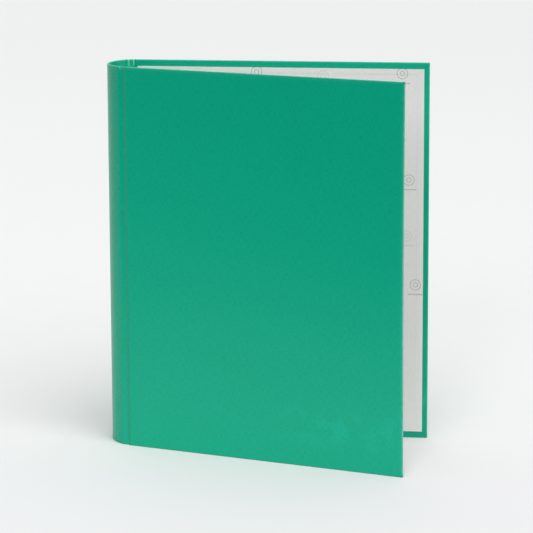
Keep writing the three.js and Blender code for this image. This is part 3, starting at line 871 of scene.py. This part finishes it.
# ------------------------------------------------------------------ the rest of the covers
def strip(name, surface, stations, thick, mat, over, flat_from=0.0):
    """Paper strip glued inside a crease, from the cover's inner face over the gap and on to the spine."""
    z0, z1 = 5.45, H - 5.45
    rows = [z0, z0 + 0.6, TURN_IN - 0.8, TURN_IN + 0.8] + [TURN_IN + 4 + (H - 2 * TURN_IN - 8) * k / 24 for k in range(25)] + [H - TURN_IN - 0.8, H - TURN_IN + 0.8, z1 - 0.6, z1]
    verts, flat, edge = [], [], []
    for s in stations:
        for z in rows:
            over_turn = min(z, H - z) < TURN_IN
            verts.append(surface(s, z, thick(s) + (over if over_turn else over - 0.08)))
            flat.append((s * MM, z * MM, 0.0))
            edge.append(0.0)
    n = len(rows)
    faces = [(a * n + k, a * n + k + 1, (a + 1) * n + k + 1, (a + 1) * n + k) for a in range(len(stations) - 1) for k in range(n - 1)]
    obj = build(name, verts, faces, mat, attrs={"flat": flat, "edge": edge}, sharp=70)
    return obj


def lining(name, front, mat):
    """Printed lining over the turned-in edges, whose step shows through it."""
    x0, x1, z0, z1 = 3.0, W - 4.5, 5.45, H - 5.45

    def lines(a, b, low, high, n):
        out = [a, a + 0.3]
        if low:
            out += [TURN_IN + d for d in (-1.0, -0.55, -0.2, 0.15, 0.5, 1.0)]
        start = out[-1] + 2.0
        ends = [high + d for d in (-1.0, -0.5, -0.15, 0.2, 0.55, 1.0)] if high else []
        stop = (ends[0] if ends else b) - 2.0
        out += [start + (stop - start) * k / n for k in range(n + 1)] + ends + [b - 0.3, b]
        return out

    xs = lines(x0, x1, False, W - TURN_IN, 34)
    zs = lines(z0, z1, True, H - TURN_IN, 44)
    rc = 0.5
    verts, flat = [], []
    size = 1.2 if front else 0.25
    for x in xs:
        for z in zs:
            step = max(smooth((x - (W - TURN_IN) + 0.5) / 1.0), smooth((TURN_IN + 0.5 - z) / 1.0), smooth((z - (H - TURN_IN) + 0.5) / 1.0))
            depth = FACE - 0.12 + 0.12 * step
            if front:
                px, py = front_place((x, -CLOSED + depth - bow(x, z, size)))
                verts.append(plan(px, py, z))
            else:
                verts.append(plan(x, -depth + bow(x, z, size), z))
            flat.append((x * MM, z * MM, 0.0))
    n = len(zs)
    faces = [(a * n + k, a * n + k + 1, (a + 1) * n + k + 1, (a + 1) * n + k) for a in range(len(xs) - 1) for k in range(n - 1)]
    return build(name, verts, faces, mat, attrs={"flat": flat, "edge": [0.0] * len(verts)}, sharp=70)


def board(name, front, mat):
    """Grey board of a cover, bowed with it."""
    line = rounded([(1.05, 0.3, 0.6), (W - 0.3, 0.3, 0.6), (W - 0.3, H - 0.3, 0.6), (1.05, H - 0.3, 0.6)], 4)
    obj = plate(name, [line], 1.75, 0.2, mat, face_on(-2.2, -0.45))
    obj.modifiers.clear()
    bm = bmesh.new()
    bm.from_mesh(obj.data)
    for k in range(1, 12):
        bmesh.ops.bisect_plane(bm, geom=bm.verts[:] + bm.edges[:] + bm.faces[:], plane_co=plan(W * k / 12, 0, 0), plane_no=(1, 0, 0))
    for k in range(1, 14):
        bmesh.ops.bisect_plane(bm, geom=bm.verts[:] + bm.edges[:] + bm.faces[:], plane_co=(0, 0, H * k / 14 * MM), plane_no=(0, 0, 1))
    for v in bm.verts:
        x, y, z = (v.co.x - X0) / MM, (v.co.y - Y0) / MM, v.co.z / MM
        if front:
            px, py = front_place((x, -CLOSED - y - bow(x, z, 1.2)))
            v.co = plan(px, py, z)
        else:
            v.co = plan(x, y + bow(x, z, 0.25), z)
    bmesh.ops.recalc_face_normals(bm, faces=bm.faces)
    bm.to_mesh(obj.data)
    bm.free()
    return obj


inner_stations = [5.0, 4.6, 3.4, 2.2] + [s for s in reversed(back_stations) if s < 2.1]
back_strip = strip("back_inner_strip", back_surface, inner_stations, lambda s: thickness(s, True), GREEN, 0.14)
paper_thickness(back_strip, Vector((0, -1, 0)), 0.12)
front_inner = [5.0, 4.6, 3.4, 2.2] + [s for s in reversed(front_stations) if s < 2.1]
front_strip = strip("front_inner_strip", front_surface, front_inner, front_thick, GREEN, 0.14)
paper_thickness(front_strip, -fn, 0.12)
back_line_paper = lining("back_lining_paper", False, LINING)
paper_thickness(back_line_paper, Vector((0, -1, 0)), 0.14)
front_line_paper = lining("front_lining_paper", True, LINING)
paper_thickness(front_line_paper, -fn, 0.14)
back_board_piece = board("back_cover_board", False, BOARD)
front_board_piece = board("front_cover_board", True, BOARD)
band = []
T_FRONT, T_BACK = -SA + 0.5 / SR, SA - 1.4 / SR
for k in range(41):
    t = T_FRONT + (T_BACK - T_FRONT) * k / 40
    band.append(turn((SX - (SR - 0.3) * math.cos(t), SY + (SR - 0.3) * math.sin(t)), BACK_AXIS, SPINE_TURN))
for k in range(40, -1, -1):
    t = T_FRONT + (T_BACK - T_FRONT) * k / 40
    band.append(turn((SX - (SR - 1.65) * math.cos(t), SY + (SR - 1.65) * math.sin(t)), BACK_AXIS, SPINE_TURN))
spine_board_piece = loft("spine_core_board", [[plan(x, y, z) for x, y in band] for z in (0.3, 40, 80, 120, 160, 200, 240, 280, H - 0.3)], BOARD, sharp=40)

# ------------------------------------------------------------------ sheet metal that is cut flat and folded
def flat_plate(name, outlines, thick, bevel, mat):
    obj = plate(name, outlines, thick, bevel, mat, Matrix.Identity(4))
    obj.modifiers.clear()
    return obj


def split(obj, axis, positions):
    bm = bmesh.new()
    bm.from_mesh(obj.data)
    no = [0, 0, 0]
    no[axis] = 1
    for c in positions:
        co = [0, 0, 0]
        co[axis] = c * MM
        bmesh.ops.bisect_plane(bm, geom=bm.verts[:] + bm.edges[:] + bm.faces[:], plane_co=co, plane_no=no, dist=1e-7)
    bm.to_mesh(obj.data)
    bm.free()


def moved(obj, fn_, sharp=50):
    """Moves every point (x, y, thickness) of a flat plate, in mm, to where fn_ says in the row frame."""
    for v in obj.data.vertices:
        v.co = fn_(v.co.x / MM, v.co.y / MM, v.co.z / MM)
    tidy(obj, 1e-6, sharp)
    return weighted(obj)


class Fold:
    """Straight runs and bends of a sheet's middle line: (length, turn in degrees, bend radius) in turn."""

    def __init__(self, start, angle, runs):
        self.pieces, self.marks = [], []
        x, y, a, s = start[0], start[1], math.radians(angle), 0.0
        for length, turned_by, r in runs:
            self.pieces.append((s, "line", x, y, a, length, 0))
            x, y, s = x + length * math.cos(a), y + length * math.sin(a), s + length
            self.marks.append(s)
            if turned_by:
                t = math.radians(turned_by)
                arc = abs(t) * r
                self.pieces.append((s, "arc", x, y, a, arc, math.copysign(r, t)))
                cx, cy = x - math.copysign(r, t) * math.sin(a), y + math.copysign(r, t) * math.cos(a)
                x, y = cx + math.copysign(r, t) * math.sin(a + t), cy - math.copysign(r, t) * math.cos(a + t)
                a += t
                n = max(3, int(abs(turned_by) / 10))
                self.marks += [s + arc * k / n for k in range(1, n + 1)]
                s += arc
        self.pieces.append((s, "line", x, y, a, 1e9, 0))
        self.length = s

    def at(self, s, t):
        """Point at s along the middle line and t off it, to the left of the direction of travel."""
        piece = self.pieces[0]
        for p in self.pieces:
            if s >= p[0]:
                piece = p
        s0, kind, x, y, a, length, r = piece
        d = s - s0
        if kind == "arc":
            turned_by = d / r
            cx, cy = x - r * math.sin(a), y + r * math.cos(a)
            b = a + turned_by
            x, y = cx + r * math.sin(b), cy - r * math.cos(b)
            a = b
        else:
            x, y = x + d * math.cos(a), y + d * math.sin(a)
        return x - t * math.sin(a), y + t * math.cos(a)


RIVETS = [(15, 96), (50, 96), (15, 224), (50, 224)]
ZM = 160.0
PIVOT = (38.5, 8.4)

# base plate, with two windows
holes = [circle(u, z, 2.45) for u, z in RIVETS] + [circle(45, z, 2.05) for z in (120, 200)] + [circle(13, 160, 1.6, 20)] + [circle(u, 160, 1.15, 16) for u in (36, 41.5)]
windows = [rounded([(25, z - 10, 2.5), (34, z - 10, 2.5), (34, z + 10, 2.5), (25, z + 10, 2.5)], 6) for z in (120, 200)]
base = flat_plate("base_plate_pressed", [rounded([(9, 88, 6), (56, 88, 6), (56, 232, 6), (9, 232, 6)], 10)] + holes + windows, 1.2, 0.16, PLATED)
base = moved(base, lambda x, y, t: mech(x, 0.63 + t, y))


def saddle(z0, z1, name):
    """Strap over the shaft with a foot on each side."""
    pts = [(9.9, 1.26, 0.1), (9.9, 2.45, 0.35), (12.3, 2.45, 0.4)]
    for i in range(19):
        t = math.radians(188 - 196 * i / 18)
        pts.append((16 + 3.25 * math.cos(t), 3.8 + 3.25 * math.sin(t), 0))
    pts += [(19.7, 2.45, 0.4), (22.1, 2.45, 0.35), (22.1, 1.26, 0.1), (18.08, 1.26, 0.1)]
    for i in range(17):
        t = math.radians(180 * i / 16)
        pts.append((16 + 2.08 * math.cos(t), 3.8 + 2.08 * math.sin(t), 0))
    pts += [(13.92, 1.26, 0.1)]
    return plate(name, [rounded(pts, 4)], z1 - z0, 0.2, PLATED, side_on(z0, z1), sharp=42)


bearing_low = saddle(128, 138, "shaft_saddle_lower")
bearing_up = saddle(182, 192, "shaft_saddle_upper")

post_profile = fillet([(0, 0.08), (1.9, 0.08), (1.9, 1.26), (3.6, 1.26), (3.6, 2.3), (2.9, 2.62), (2.1, 3.0), (2.1, 26.45), (1.55, 27.0), (0, 27.0)], 0.22)
posts = [lathe(f"filing_post_turned_{n}", post_profile, along_w(45, z), BRIGHT, 48) for n, z in (("lower", 120), ("upper", 200))]

R_ARCH, TOPW = 14.5, 27.8
ring_down = [(30.5 + R_ARCH * math.cos(math.radians(t)), TOPW + R_ARCH * math.sin(math.radians(t)), 120.0, 0) for t in range(0, 181, 5)]
ring_up = [(30.5 + R_ARCH * math.cos(math.radians(t)), TOPW + R_ARCH * math.sin(math.radians(t)), 200.0, 0) for t in range(180, -1, -5)]
path = [(45, 27.3, 120, 0)] + ring_down + [(16, 3.8, 120, 5), (16, 3.8, 147, 4), (30, 3.8, 147, 4), (30, 3.8, 173, 4), (16, 3.8, 173, 4), (16, 3.8, 200, 5)] + ring_up + [(45, 27.3, 200, 0)]
arch = tube("arch_wire_drawn", [mech(*p) for p in bent(path)], 1.9, BRIGHT, 28)

leaf = flat_plate("arch_leaf_spring", [rounded([(9.8, 154.5, 0.8), (11, 153.5, 0.8), (26, 153.5, 3), (31.6, 155.5, 1.5), (31.6, 164.5, 1.5), (26, 166.5, 3), (11, 166.5, 0.8), (9.8, 165.5, 0.8)]), circle(13, 160, 1.6, 20)], 0.4, 0.09, PLATED)
split(leaf, 0, [18 + k for k in range(14)])
leaf = moved(leaf, lambda x, y, t: mech(x, 1.46 + t + 0.18 * max(0.0, (x - 18) / 13.6) ** 2, y))


def head(r, h0, h1, hole=0.0):
    return [(r, h0), (r * 0.97, h0 + (h1 - h0) * 0.45), (r * 0.8, h0 + (h1 - h0) * 0.8), (r * 0.5, h0 + (h1 - h0) * 0.96), (0, h1)]


leaf_rivet = lathe("leaf_spring_rivet", fillet([(0, 0.08), (1.4, 0.08), (1.4, 1.72)] + head(2.7, 1.72, 2.6), 0.12), along_w(13, 160), PLATED)
bracket_rivets = [lathe(f"bracket_rivet_{n}", fillet([(0, 0.08), (0.95, 0.08), (0.95, 2.56)] + head(1.8, 2.56, 3.25), 0.1), along_w(u, 160), PLATED) for n, u in (("in", 36), ("out", 41.5))]
through = fillet([(0, -3.45), (2.6, -3.38), (3.9, -3.12), (4.45, -2.75), (4.5, -2.55), (2.2, -2.53), (2.2, 1.26), (3.7, 1.27), (3.62, 1.75), (3.1, 2.2), (2.4, 2.27), (1.7, 2.1), (1.25, 1.6), (0, 1.53)], 0.18)
cover_rivets = [lathe(f"cover_rivet_{i + 1}", through, along_w(u, z), PLATED, 48) for i, (u, z) in enumerate(RIVETS)]

# lever bracket: one strip folded up into two ears
ear = 8.0 + 1.3 * math.pi / 2 + (PIVOT[1] - 3.2)
shape = []
for side_ in (1, -1):
    a0, a1 = (168, 12) if side_ > 0 else (-12, -168)
    arc = [(PIVOT[0] + 4.3 * math.cos(math.radians(a0 + (a1 - a0) * k / 20)), side_ * ear + 4.3 * math.sin(math.radians(a0 + (a1 - a0) * k / 20)), 0) for k in range(21)]
    low = side_ * (ear - 2.9)
    shape += ([(33.9, low, 1.0)] + arc + [(43.6, low, 1.0)]) if side_ > 0 else ([(43.6, low, 1.0)] + arc + [(33.9, low, 1.0)])
bracket = flat_plate("lever_bracket_folded", [rounded(shape, 3), circle(PIVOT[0], ear, 1.62, 24), circle(PIVOT[0], -ear, 1.62, 24), circle(36, 0, 1.15, 16), circle(41.5, 0, 1.15, 16)], 1.22, 0.15, PLATED)
bracket_fold = Fold((0, 1.9), 0, [(8.0, 90, 1.3)])
split(bracket, 1, [s * m for m in bracket_fold.marks for s in (1, -1)])


def bracket_at(x, y, t):
    q, w = bracket_fold.at(abs(y), t)
    return mech(x, w, ZM + math.copysign(q, y))


bracket = moved(bracket, bracket_at)
pin_profile = fillet([(0, 148.9), (1.6, 148.95), (2.25, 149.2), (2.4, 149.5), (2.4, 149.8), (1.5, 149.8), (1.5, 170.2), (2.4, 170.2), (2.4, 170.5), (2.25, 170.8), (1.6, 171.05), (0, 171.1)], 0.12)
pivot_pin = lathe("lever_pivot_turned", pin_profile, along_z(*PIVOT), PLATED, 36)

# lever: flat top with two folded cheeks, a rising finger tongue and a rolled tip
web_w = 12.0
cheek_s = 6.1 + 1.3 * math.pi / 2
rise_a = 39.25
tongue = Fold((24.2, web_w), 180, [(0.6, -rise_a, 2.6), (18.37, -(50 - rise_a), 6.0), (1.4, 285, 1.35)])
cheek_fold = Fold((0, web_w), 0, [(6.1, -90, 1.3)])
pivot_s = cheek_s + (10.7 - PIVOT[1])


def cheek(side_):
    """Outline of one cheek and its edge of the web, from the tongue towards the pivot end."""
    pts = [(23.4, 7.0, 0.8), (24.2, 7.6, 0.8), (25.2, cheek_s + 3.2, 1.0), (27.0, cheek_s + 3.9, 0.8), (28.4, pivot_s + 1.6, 0.6)]
    pts += [(30 + 2.15 * math.cos(math.radians(a)), pivot_s + 2.15 * math.sin(math.radians(a)), 0) for a in range(120, 50, -10)]
    pts += [(32.0, pivot_s + 1.5, 0.6), (33.8, pivot_s + 1.5, 1.2), (35.6, pivot_s + 2.5, 0.5)]
    pts += [(PIVOT[0] + 3.6 * math.cos(math.radians(a)), pivot_s + 3.6 * math.sin(math.radians(a)), 0) for a in range(128, -24, -8)]
    pts += [(41.7, cheek_s + 0.2, 0.6), (41.9, 6.6, 0.8)]
    return pts if side_ > 0 else [(x, -y, r) for x, y, r in reversed(pts)]


tip = 24.2 - tongue.length
lever_shape = rounded([(tip, -6.9, 1.0)] + [(tip, 6.9, 1.0)] + cheek(1) + cheek(-1), 5)
lever_shape.reverse()
lever_plate = flat_plate("lever_folded", [lever_shape] + [circle(PIVOT[0], s * pivot_s, 1.62, 24) for s in (1, -1)] + [circle(30, s * pivot_s, 1.36, 20) for s in (1, -1)], 1.2, 0.16, BRIGHT)
split(lever_plate, 1, [s * m for m in cheek_fold.marks for s in (1, -1)])
split(lever_plate, 0, [24.2 - m for m in tongue.marks] + [23.4, 23.0, 24.6, 39.5, 40.0, 40.5, 41.0, 41.5])


def lever_at(x, y, t):
    if x < 24.2:
        u, w = tongue.at(24.2 - x, -t)
        f = smooth((x - 22.6) / 1.6)
        q = abs(y)
        if q > 6.1 and f > 0:
            q2, w2 = cheek_fold.at(q, t)
            return mech(u, w + f * (w2 - t - web_w), ZM + math.copysign(q + f * (q2 - q), y))
        return mech(u, w, ZM + y)
    q, w = cheek_fold.at(abs(y), t)
    if x > 39.5 and abs(y) < cheek_s:
        w -= 0.55 * smooth((x - 39.5) / 2.4) * (1 - smooth((abs(y) - 5.0) / 2.5))
    return mech(x, w, ZM + math.copysign(q, y))


lever = moved(lever_plate, lever_at)
roller_pin = lathe("roller_pin_turned", fillet([(0, 151.85), (1.0, 151.85), (1.2, 152.05), (1.2, 167.95), (1.0, 168.15), (0, 168.15)], 0.08), along_z(30, PIVOT[1]), PLATED, 28)
roller = lathe("pressure_roller_turned", [(1.36, 153.5), (2.3, 153.5), (2.52, 153.58), (2.6, 153.8), (2.6, 158.0), (2.55, 158.15), (2.55, 161.85), (2.6, 162.0), (2.6, 166.2), (2.52, 166.42), (2.3, 166.5), (1.36, 166.5)], along_z(30, PIVOT[1]), BRIGHT, 40)

# sheet compressor: flat bar with a stiffening flange and two ears for the bail
ear_s = 110.2 - (math.pi / 2 * 1.0 + 3.4)
mid_hole = 110.2 - (math.pi / 2 * 1.0 + 1.8)

def comp_half(m):
    z = (lambda v: v) if m < 0 else (lambda v: 320 - v)
    pts = [(60.05, z(114.4), 0.9), (56.5, z(114.2), 0.3), (56.5, z(110.4), 0.5), (56.1, z(110.2), 0.1), (56.1, z(ear_s + 0.2), 1.5), (52.9, z(ear_s + 0.2), 1.5), (52.9, z(110.2), 0.1), (52.4, z(110.4), 0.4),
           (49.2, z(110.4), 0.8), (48.2, z(111.0), 0.8), (42, z(111), 1.6), (40.2, z(113), 1.2), (40.2, z(127), 1.2), (42, z(129), 1.6), (46.5, z(129), 1.5), (48.6, z(131.5), 1.5)]
    return pts if m < 0 else list(reversed(pts))


comp_shape = rounded(comp_half(-1) + comp_half(1), 5)
comp_shape.reverse()
comp_holes = [circle(45, z, 2.45, 28) for z in (120, 200)] + [circle(54.5, z, 1.12, 20) for z in (mid_hole, 320 - mid_hole)]
comp = flat_plate("compressor_bar_folded", [comp_shape] + comp_holes, 1.2, 0.16, PLATED)
flange_fold = Fold((56.4, 3.5), 0, [(0.0, 90, 1.0)])
ear_fold = Fold((0.0, 3.5), 0, [(0.0, 90, 1.0)])
split(comp, 0, [56.4 + m for m in [0.0] + flange_fold.marks])
split(comp, 1, [110.2 - m for m in [0.0] + ear_fold.marks] + [209.8 + m for m in [0.0] + ear_fold.marks])


def comp_at(x, y, t):
    end = 110.2 - y if y < ZM else y - 209.8
    if end > 0:
        q, w = ear_fold.at(end, t)
        return mech(x, w, 110.2 - q if y < ZM else 209.8 + q)
    if x > 56.4 and abs(y - ZM) < 45.95:
        u, w = flange_fold.at(x - 56.4, t)
        return mech(u, w, y)
    return mech(x, 3.5 + t, y)


comp = moved(comp, comp_at)
bail = tube("compressor_bail_wire", [mech(*p) for p in bent([(54.5, 6.3, 108.4, 0), (54.5, 6.3, 114.4, 2.2), (48.4, 6.3, 114.4, 2.2), (48.4, 6.3, 205.6, 2.2), (54.5, 6.3, 205.6, 2.2), (54.5, 6.3, 211.6, 0)], 0.35)], 0.95, BRIGHT, 18, 0.2)
grip = [(48.4 + 1.9 * math.cos(math.radians(a)), 6.3 + 1.9 * math.sin(math.radians(a)), 0) for a in range(75, 331, 12)]
grip += [(50.6, 7.15, 1.2), (53.9, 8.35, 0.45), (53.6, 9.4, 0.45), (50.2, 8.65, 2.0)]
tab = plate("compressor_finger_tab", [rounded(grip, 5), circle(48.4, 6.3, 1.08, 20)], 22.0, 0.35, PLASTIC, side_on(149, 171), 3)

# ------------------------------------------------------------------ the CAD parts each piece stands for, and the body each rigid piece rides on
back_a = plan(*turn((-0.4, -1.3), BACK_AXIS, SPINE_TURN), 160)
back_b = plan(*turn((-6.2, -1.3), BACK_AXIS, SPINE_TURN), 160)
front_a = plan(*front_place((-6.2, -CLOSED + 1.3), 0.0), 160)
front_b = plan(*front_place((-0.4, -CLOSED + 1.3), 1.0), 160)
for piece, a, b, start, end, slot, nodes in (
    (back_cov, "back_cover", "spine", back_a, back_b, "cover_paper", ("back_cover_wrap", "spine_cover_wrap", "back_crease")),
    (back_strip, "back_cover", "spine", back_a, back_b, "cover_paper", ("spine_inner_strip",)),
    (front_cov, "spine", "front_cover", front_a, front_b, "cover_paper", ("front_cover_wrap", "front_crease")),
    (front_strip, "spine", "front_cover", front_a, front_b, "cover_paper", ()),
):
    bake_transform(piece)
    if nodes:
        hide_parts(*nodes)

for piece, body, slot, nodes in (
    (back_line_paper, "back_cover", "lining_paper", ("back_lining",)),
    (front_line_paper, "front_cover", "lining_paper", ("front_lining",)),
    (back_board_piece, "back_cover", "grey_board", ("back_board",)),
    (front_board_piece, "front_cover", "grey_board", ("front_board",)),
    (spine_board_piece, "spine", "grey_board", ("spine_board",)),
    (base, "back_cover", "plated_steel", ("base_plate",)),
    (bearing_low, "back_cover", "plated_steel", ("shaft_bearing_lower",)),
    (bearing_up, "back_cover", "plated_steel", ("shaft_bearing_upper",)),
    (posts[0], "back_cover", "bright_steel", ("filing_post_lower",)),
    (posts[1], "back_cover", "bright_steel", ("filing_post_upper",)),
    (leaf, "back_cover", "plated_steel", ("arch_spring",)),
    (leaf_rivet, "back_cover", "plated_steel", ("spring_rivet",)),
    (bracket, "back_cover", "plated_steel", ("lever_bracket",)),
    (bracket_rivets[0], "back_cover", "plated_steel", ("bracket_rivet_inner",)),
    (bracket_rivets[1], "back_cover", "plated_steel", ("bracket_rivet_outer",)),
    (pivot_pin, "back_cover", "plated_steel", ("lever_pivot_pin",)),
    (cover_rivets[0], "back_cover", "plated_steel", ("mounting_rivet_1",)),
    (cover_rivets[1], "back_cover", "plated_steel", ("mounting_rivet_2",)),
    (cover_rivets[2], "back_cover", "plated_steel", ("mounting_rivet_3",)),
    (cover_rivets[3], "back_cover", "plated_steel", ("mounting_rivet_4",)),
    (arch, "arches", "bright_steel", ("arch_wire",)),
    (lever, "lever", "bright_steel", ("lever",)),
    (roller_pin, "lever", "plated_steel", ("roller_pin",)),
    (roller, "roller", "bright_steel", ("pressure_roller",)),
    (comp, "compressor", "plated_steel", ("compressor_bar",)),
    (bail, "bail", "bright_steel", ("compressor_bail",)),
    (tab, "bail", "black_grip", ("compressor_tab",)),
):
    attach(piece, body)
    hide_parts(*nodes)

# ------------------------------------------------------------------ floor
bm = bmesh.new()
N, LEFT, RIGHT, NEAR, FAR = 40, -3.0, 3.0, -0.42, 12.0
grid = [[bm.verts.new((LEFT + (RIGHT - LEFT) * i / N, NEAR + (FAR - NEAR) * j / N, 0.0)) for j in range(N + 1)] for i in range(N + 1)]
for i in range(N):
    for j in range(N):
        bm.faces.new((grid[i][j], grid[i + 1][j], grid[i + 1][j + 1], grid[i][j + 1]))
floor_mesh = bpy.data.meshes.new("studio_floor")
bm.to_mesh(floor_mesh)
bm.free()
floor = bpy.data.objects.new("studio_floor", floor_mesh)
bpy.context.scene.collection.objects.link(floor)
f = Nodes("studio_floor_paper")
fc = f.coords()
fn_noise = f.noise(fc, 30.0, 3.0, 0.5)
pale = f.mix(f.span(fn_noise, 0.3, 0.7), (0.738, 0.745, 0.743), (0.744, 0.751, 0.749))
# painted shade: the floor gets darker with distance, and a little darker and less green just in front of the file
far_off = f.span(separate(f, fc)[1], 0.8, 3.0)
close_by = f.span(separate(f, fc)[1], 0.05, -0.08)
pale = f.mix(close_by, pale, (0.730, 0.724, 0.739))
f.set(Base_Color=f.mix(far_off, pale, (0.700, 0.706, 0.704)), Roughness=0.75, Specular_IOR_Level=0.25)
floor_mesh.materials.append(f.mat)

# ------------------------------------------------------------------ light
scene = bpy.context.scene
# how bright each soft panel of the studio is: towards a direction, from where it fades in to where it is full
AIR_BASE = 0.0
PANELS = [
    ((0.10, -0.25, 1.00), 0.35, 0.90, 0.74),
    ((0.95, -0.20, 0.25), 0.45, 0.95, 0.34),
    ((-0.85, 0.50, 0.20), 0.30, 0.90, 0.30),
    ((0.00, 1.00, 0.25), 0.30, 0.90, 0.50),
    ((-0.95, -0.15, 0.10), 0.55, 0.95, 0.16),
]
KEY, FRONT = 2.15, 0.41
world = bpy.data.worlds.new("studio_air")
scene.world = world
world.use_nodes = True
wt = world.node_tree
wt.nodes.clear()
wo = wt.nodes.new("ShaderNodeOutputWorld")
bg = wt.nodes.new("ShaderNodeBackground")
plain = wt.nodes.new("ShaderNodeBackground")
which = wt.nodes.new("ShaderNodeMixShader")
ray = wt.nodes.new("ShaderNodeLightPath")
way = wt.nodes.new("ShaderNodeTexCoord")


def panel(towards, low, high, amount):
    """Soft-edged bright side of the studio, towards one direction."""
    dot = wt.nodes.new("ShaderNodeVectorMath")
    dot.operation = "DOT_PRODUCT"
    wt.links.new(way.outputs["Generated"], dot.inputs[0])
    dot.inputs[1].default_value = Vector(towards).normalized()
    n = wt.nodes.new("ShaderNodeMapRange")
    n.interpolation_type = "SMOOTHSTEP"
    wt.links.new(dot.outputs["Value"], n.inputs["Value"])
    for k, v in (("From Min", low), ("From Max", high), ("To Min", 0.0), ("To Max", amount)):
        n.inputs[k].default_value = v
    return n.outputs["Result"]


level = None
for settings in PANELS:
    n = wt.nodes.new("ShaderNodeMath")
    n.operation = "ADD"
    if level is None:
        n.inputs[0].default_value = AIR_BASE
    else:
        wt.links.new(level, n.inputs[0])
    wt.links.new(panel(*settings), n.inputs[1])
    level = n.outputs[0]
bg.inputs["Color"].default_value = (0.992, 1.0, 0.994, 1)
wt.links.new(level, bg.inputs["Strength"])
plain.inputs["Color"].default_value = (0.934, 0.943, 0.944, 1)
wt.links.new(ray.outputs["Is Camera Ray"], which.inputs[0])
wt.links.new(bg.outputs[0], which.inputs[1])
wt.links.new(plain.outputs[0], which.inputs[2])
wt.links.new(which.outputs[0], wo.inputs[0])


def sun(name, azimuth, elevation, strength, spread, color=(1, 1, 1)):
    """Broad even light; azimuth 0 comes from the camera's side and 90 from the right."""
    data = bpy.data.lights.new(name, "SUN")
    data.energy = strength
    data.angle = math.radians(spread)
    data.color = color
    ob = bpy.data.objects.new(name, data)
    scene.collection.objects.link(ob)
    a, e = math.radians(azimuth), math.radians(elevation)
    away = Vector((math.sin(a) * math.cos(e), -math.cos(a) * math.cos(e), math.sin(e)))
    ob.rotation_mode = "QUATERNION"
    ob.rotation_quaternion = away.to_track_quat("Z", "Y")
    return ob


def softbox(name, where, size, power, color=(1, 1, 1)):
    """Rectangular soft light aimed at the file's middle."""
    data = bpy.data.lights.new(name, "AREA")
    data.shape = "RECTANGLE"
    data.size, data.size_y = size
    data.energy = power
    data.color = color
    ob = bpy.data.objects.new(name, data)
    scene.collection.objects.link(ob)
    ob.location = where
    ob.rotation_mode = "QUATERNION"
    ob.rotation_quaternion = (Vector(where) - Vector((0, 0, 0.16))).to_track_quat("Z", "Y")
    return ob


sun("key", 28, 50, KEY, 60)
sun("front", -8, 24, FRONT, 14)

# ------------------------------------------------------------------ camera
HEADING, PITCH_DOWN, ROLL = math.radians(7.458), math.radians(11.081), math.radians(-0.232)
cam_data = bpy.data.cameras.new("camera")
cam_data.sensor_width = 36.0
cam_data.sensor_fit = "HORIZONTAL"
cam_data.lens = 2757.2 / 533 * 36
cam_data.clip_start, cam_data.clip_end = 0.05, 50
cam_data.dof.use_dof = False
cam = bpy.data.objects.new("camera", cam_data)
scene.collection.objects.link(cam)
cam.location = (0.29299, -2.20523, 0.59337)
ahead = Vector((-math.sin(HEADING) * math.cos(PITCH_DOWN), math.cos(HEADING) * math.cos(PITCH_DOWN), -math.sin(PITCH_DOWN)))
right = Vector((math.cos(HEADING), math.sin(HEADING), 0))
up_ = right.cross(ahead)
right, up_ = right * math.cos(ROLL) + up_ * math.sin(ROLL), up_ * math.cos(ROLL) - right * math.sin(ROLL)
cam.matrix_world = Matrix(((right.x, up_.x, -ahead.x, cam.location.x), (right.y, up_.y, -ahead.y, cam.location.y), (right.z, up_.z, -ahead.z, cam.location.z), (0, 0, 0, 1)))
scene.camera = cam
scene.view_settings.view_transform = "Standard"
scene.view_settings.look = "None"
scene.view_settings.exposure = 0.0
scene.view_settings.gamma = 1.0
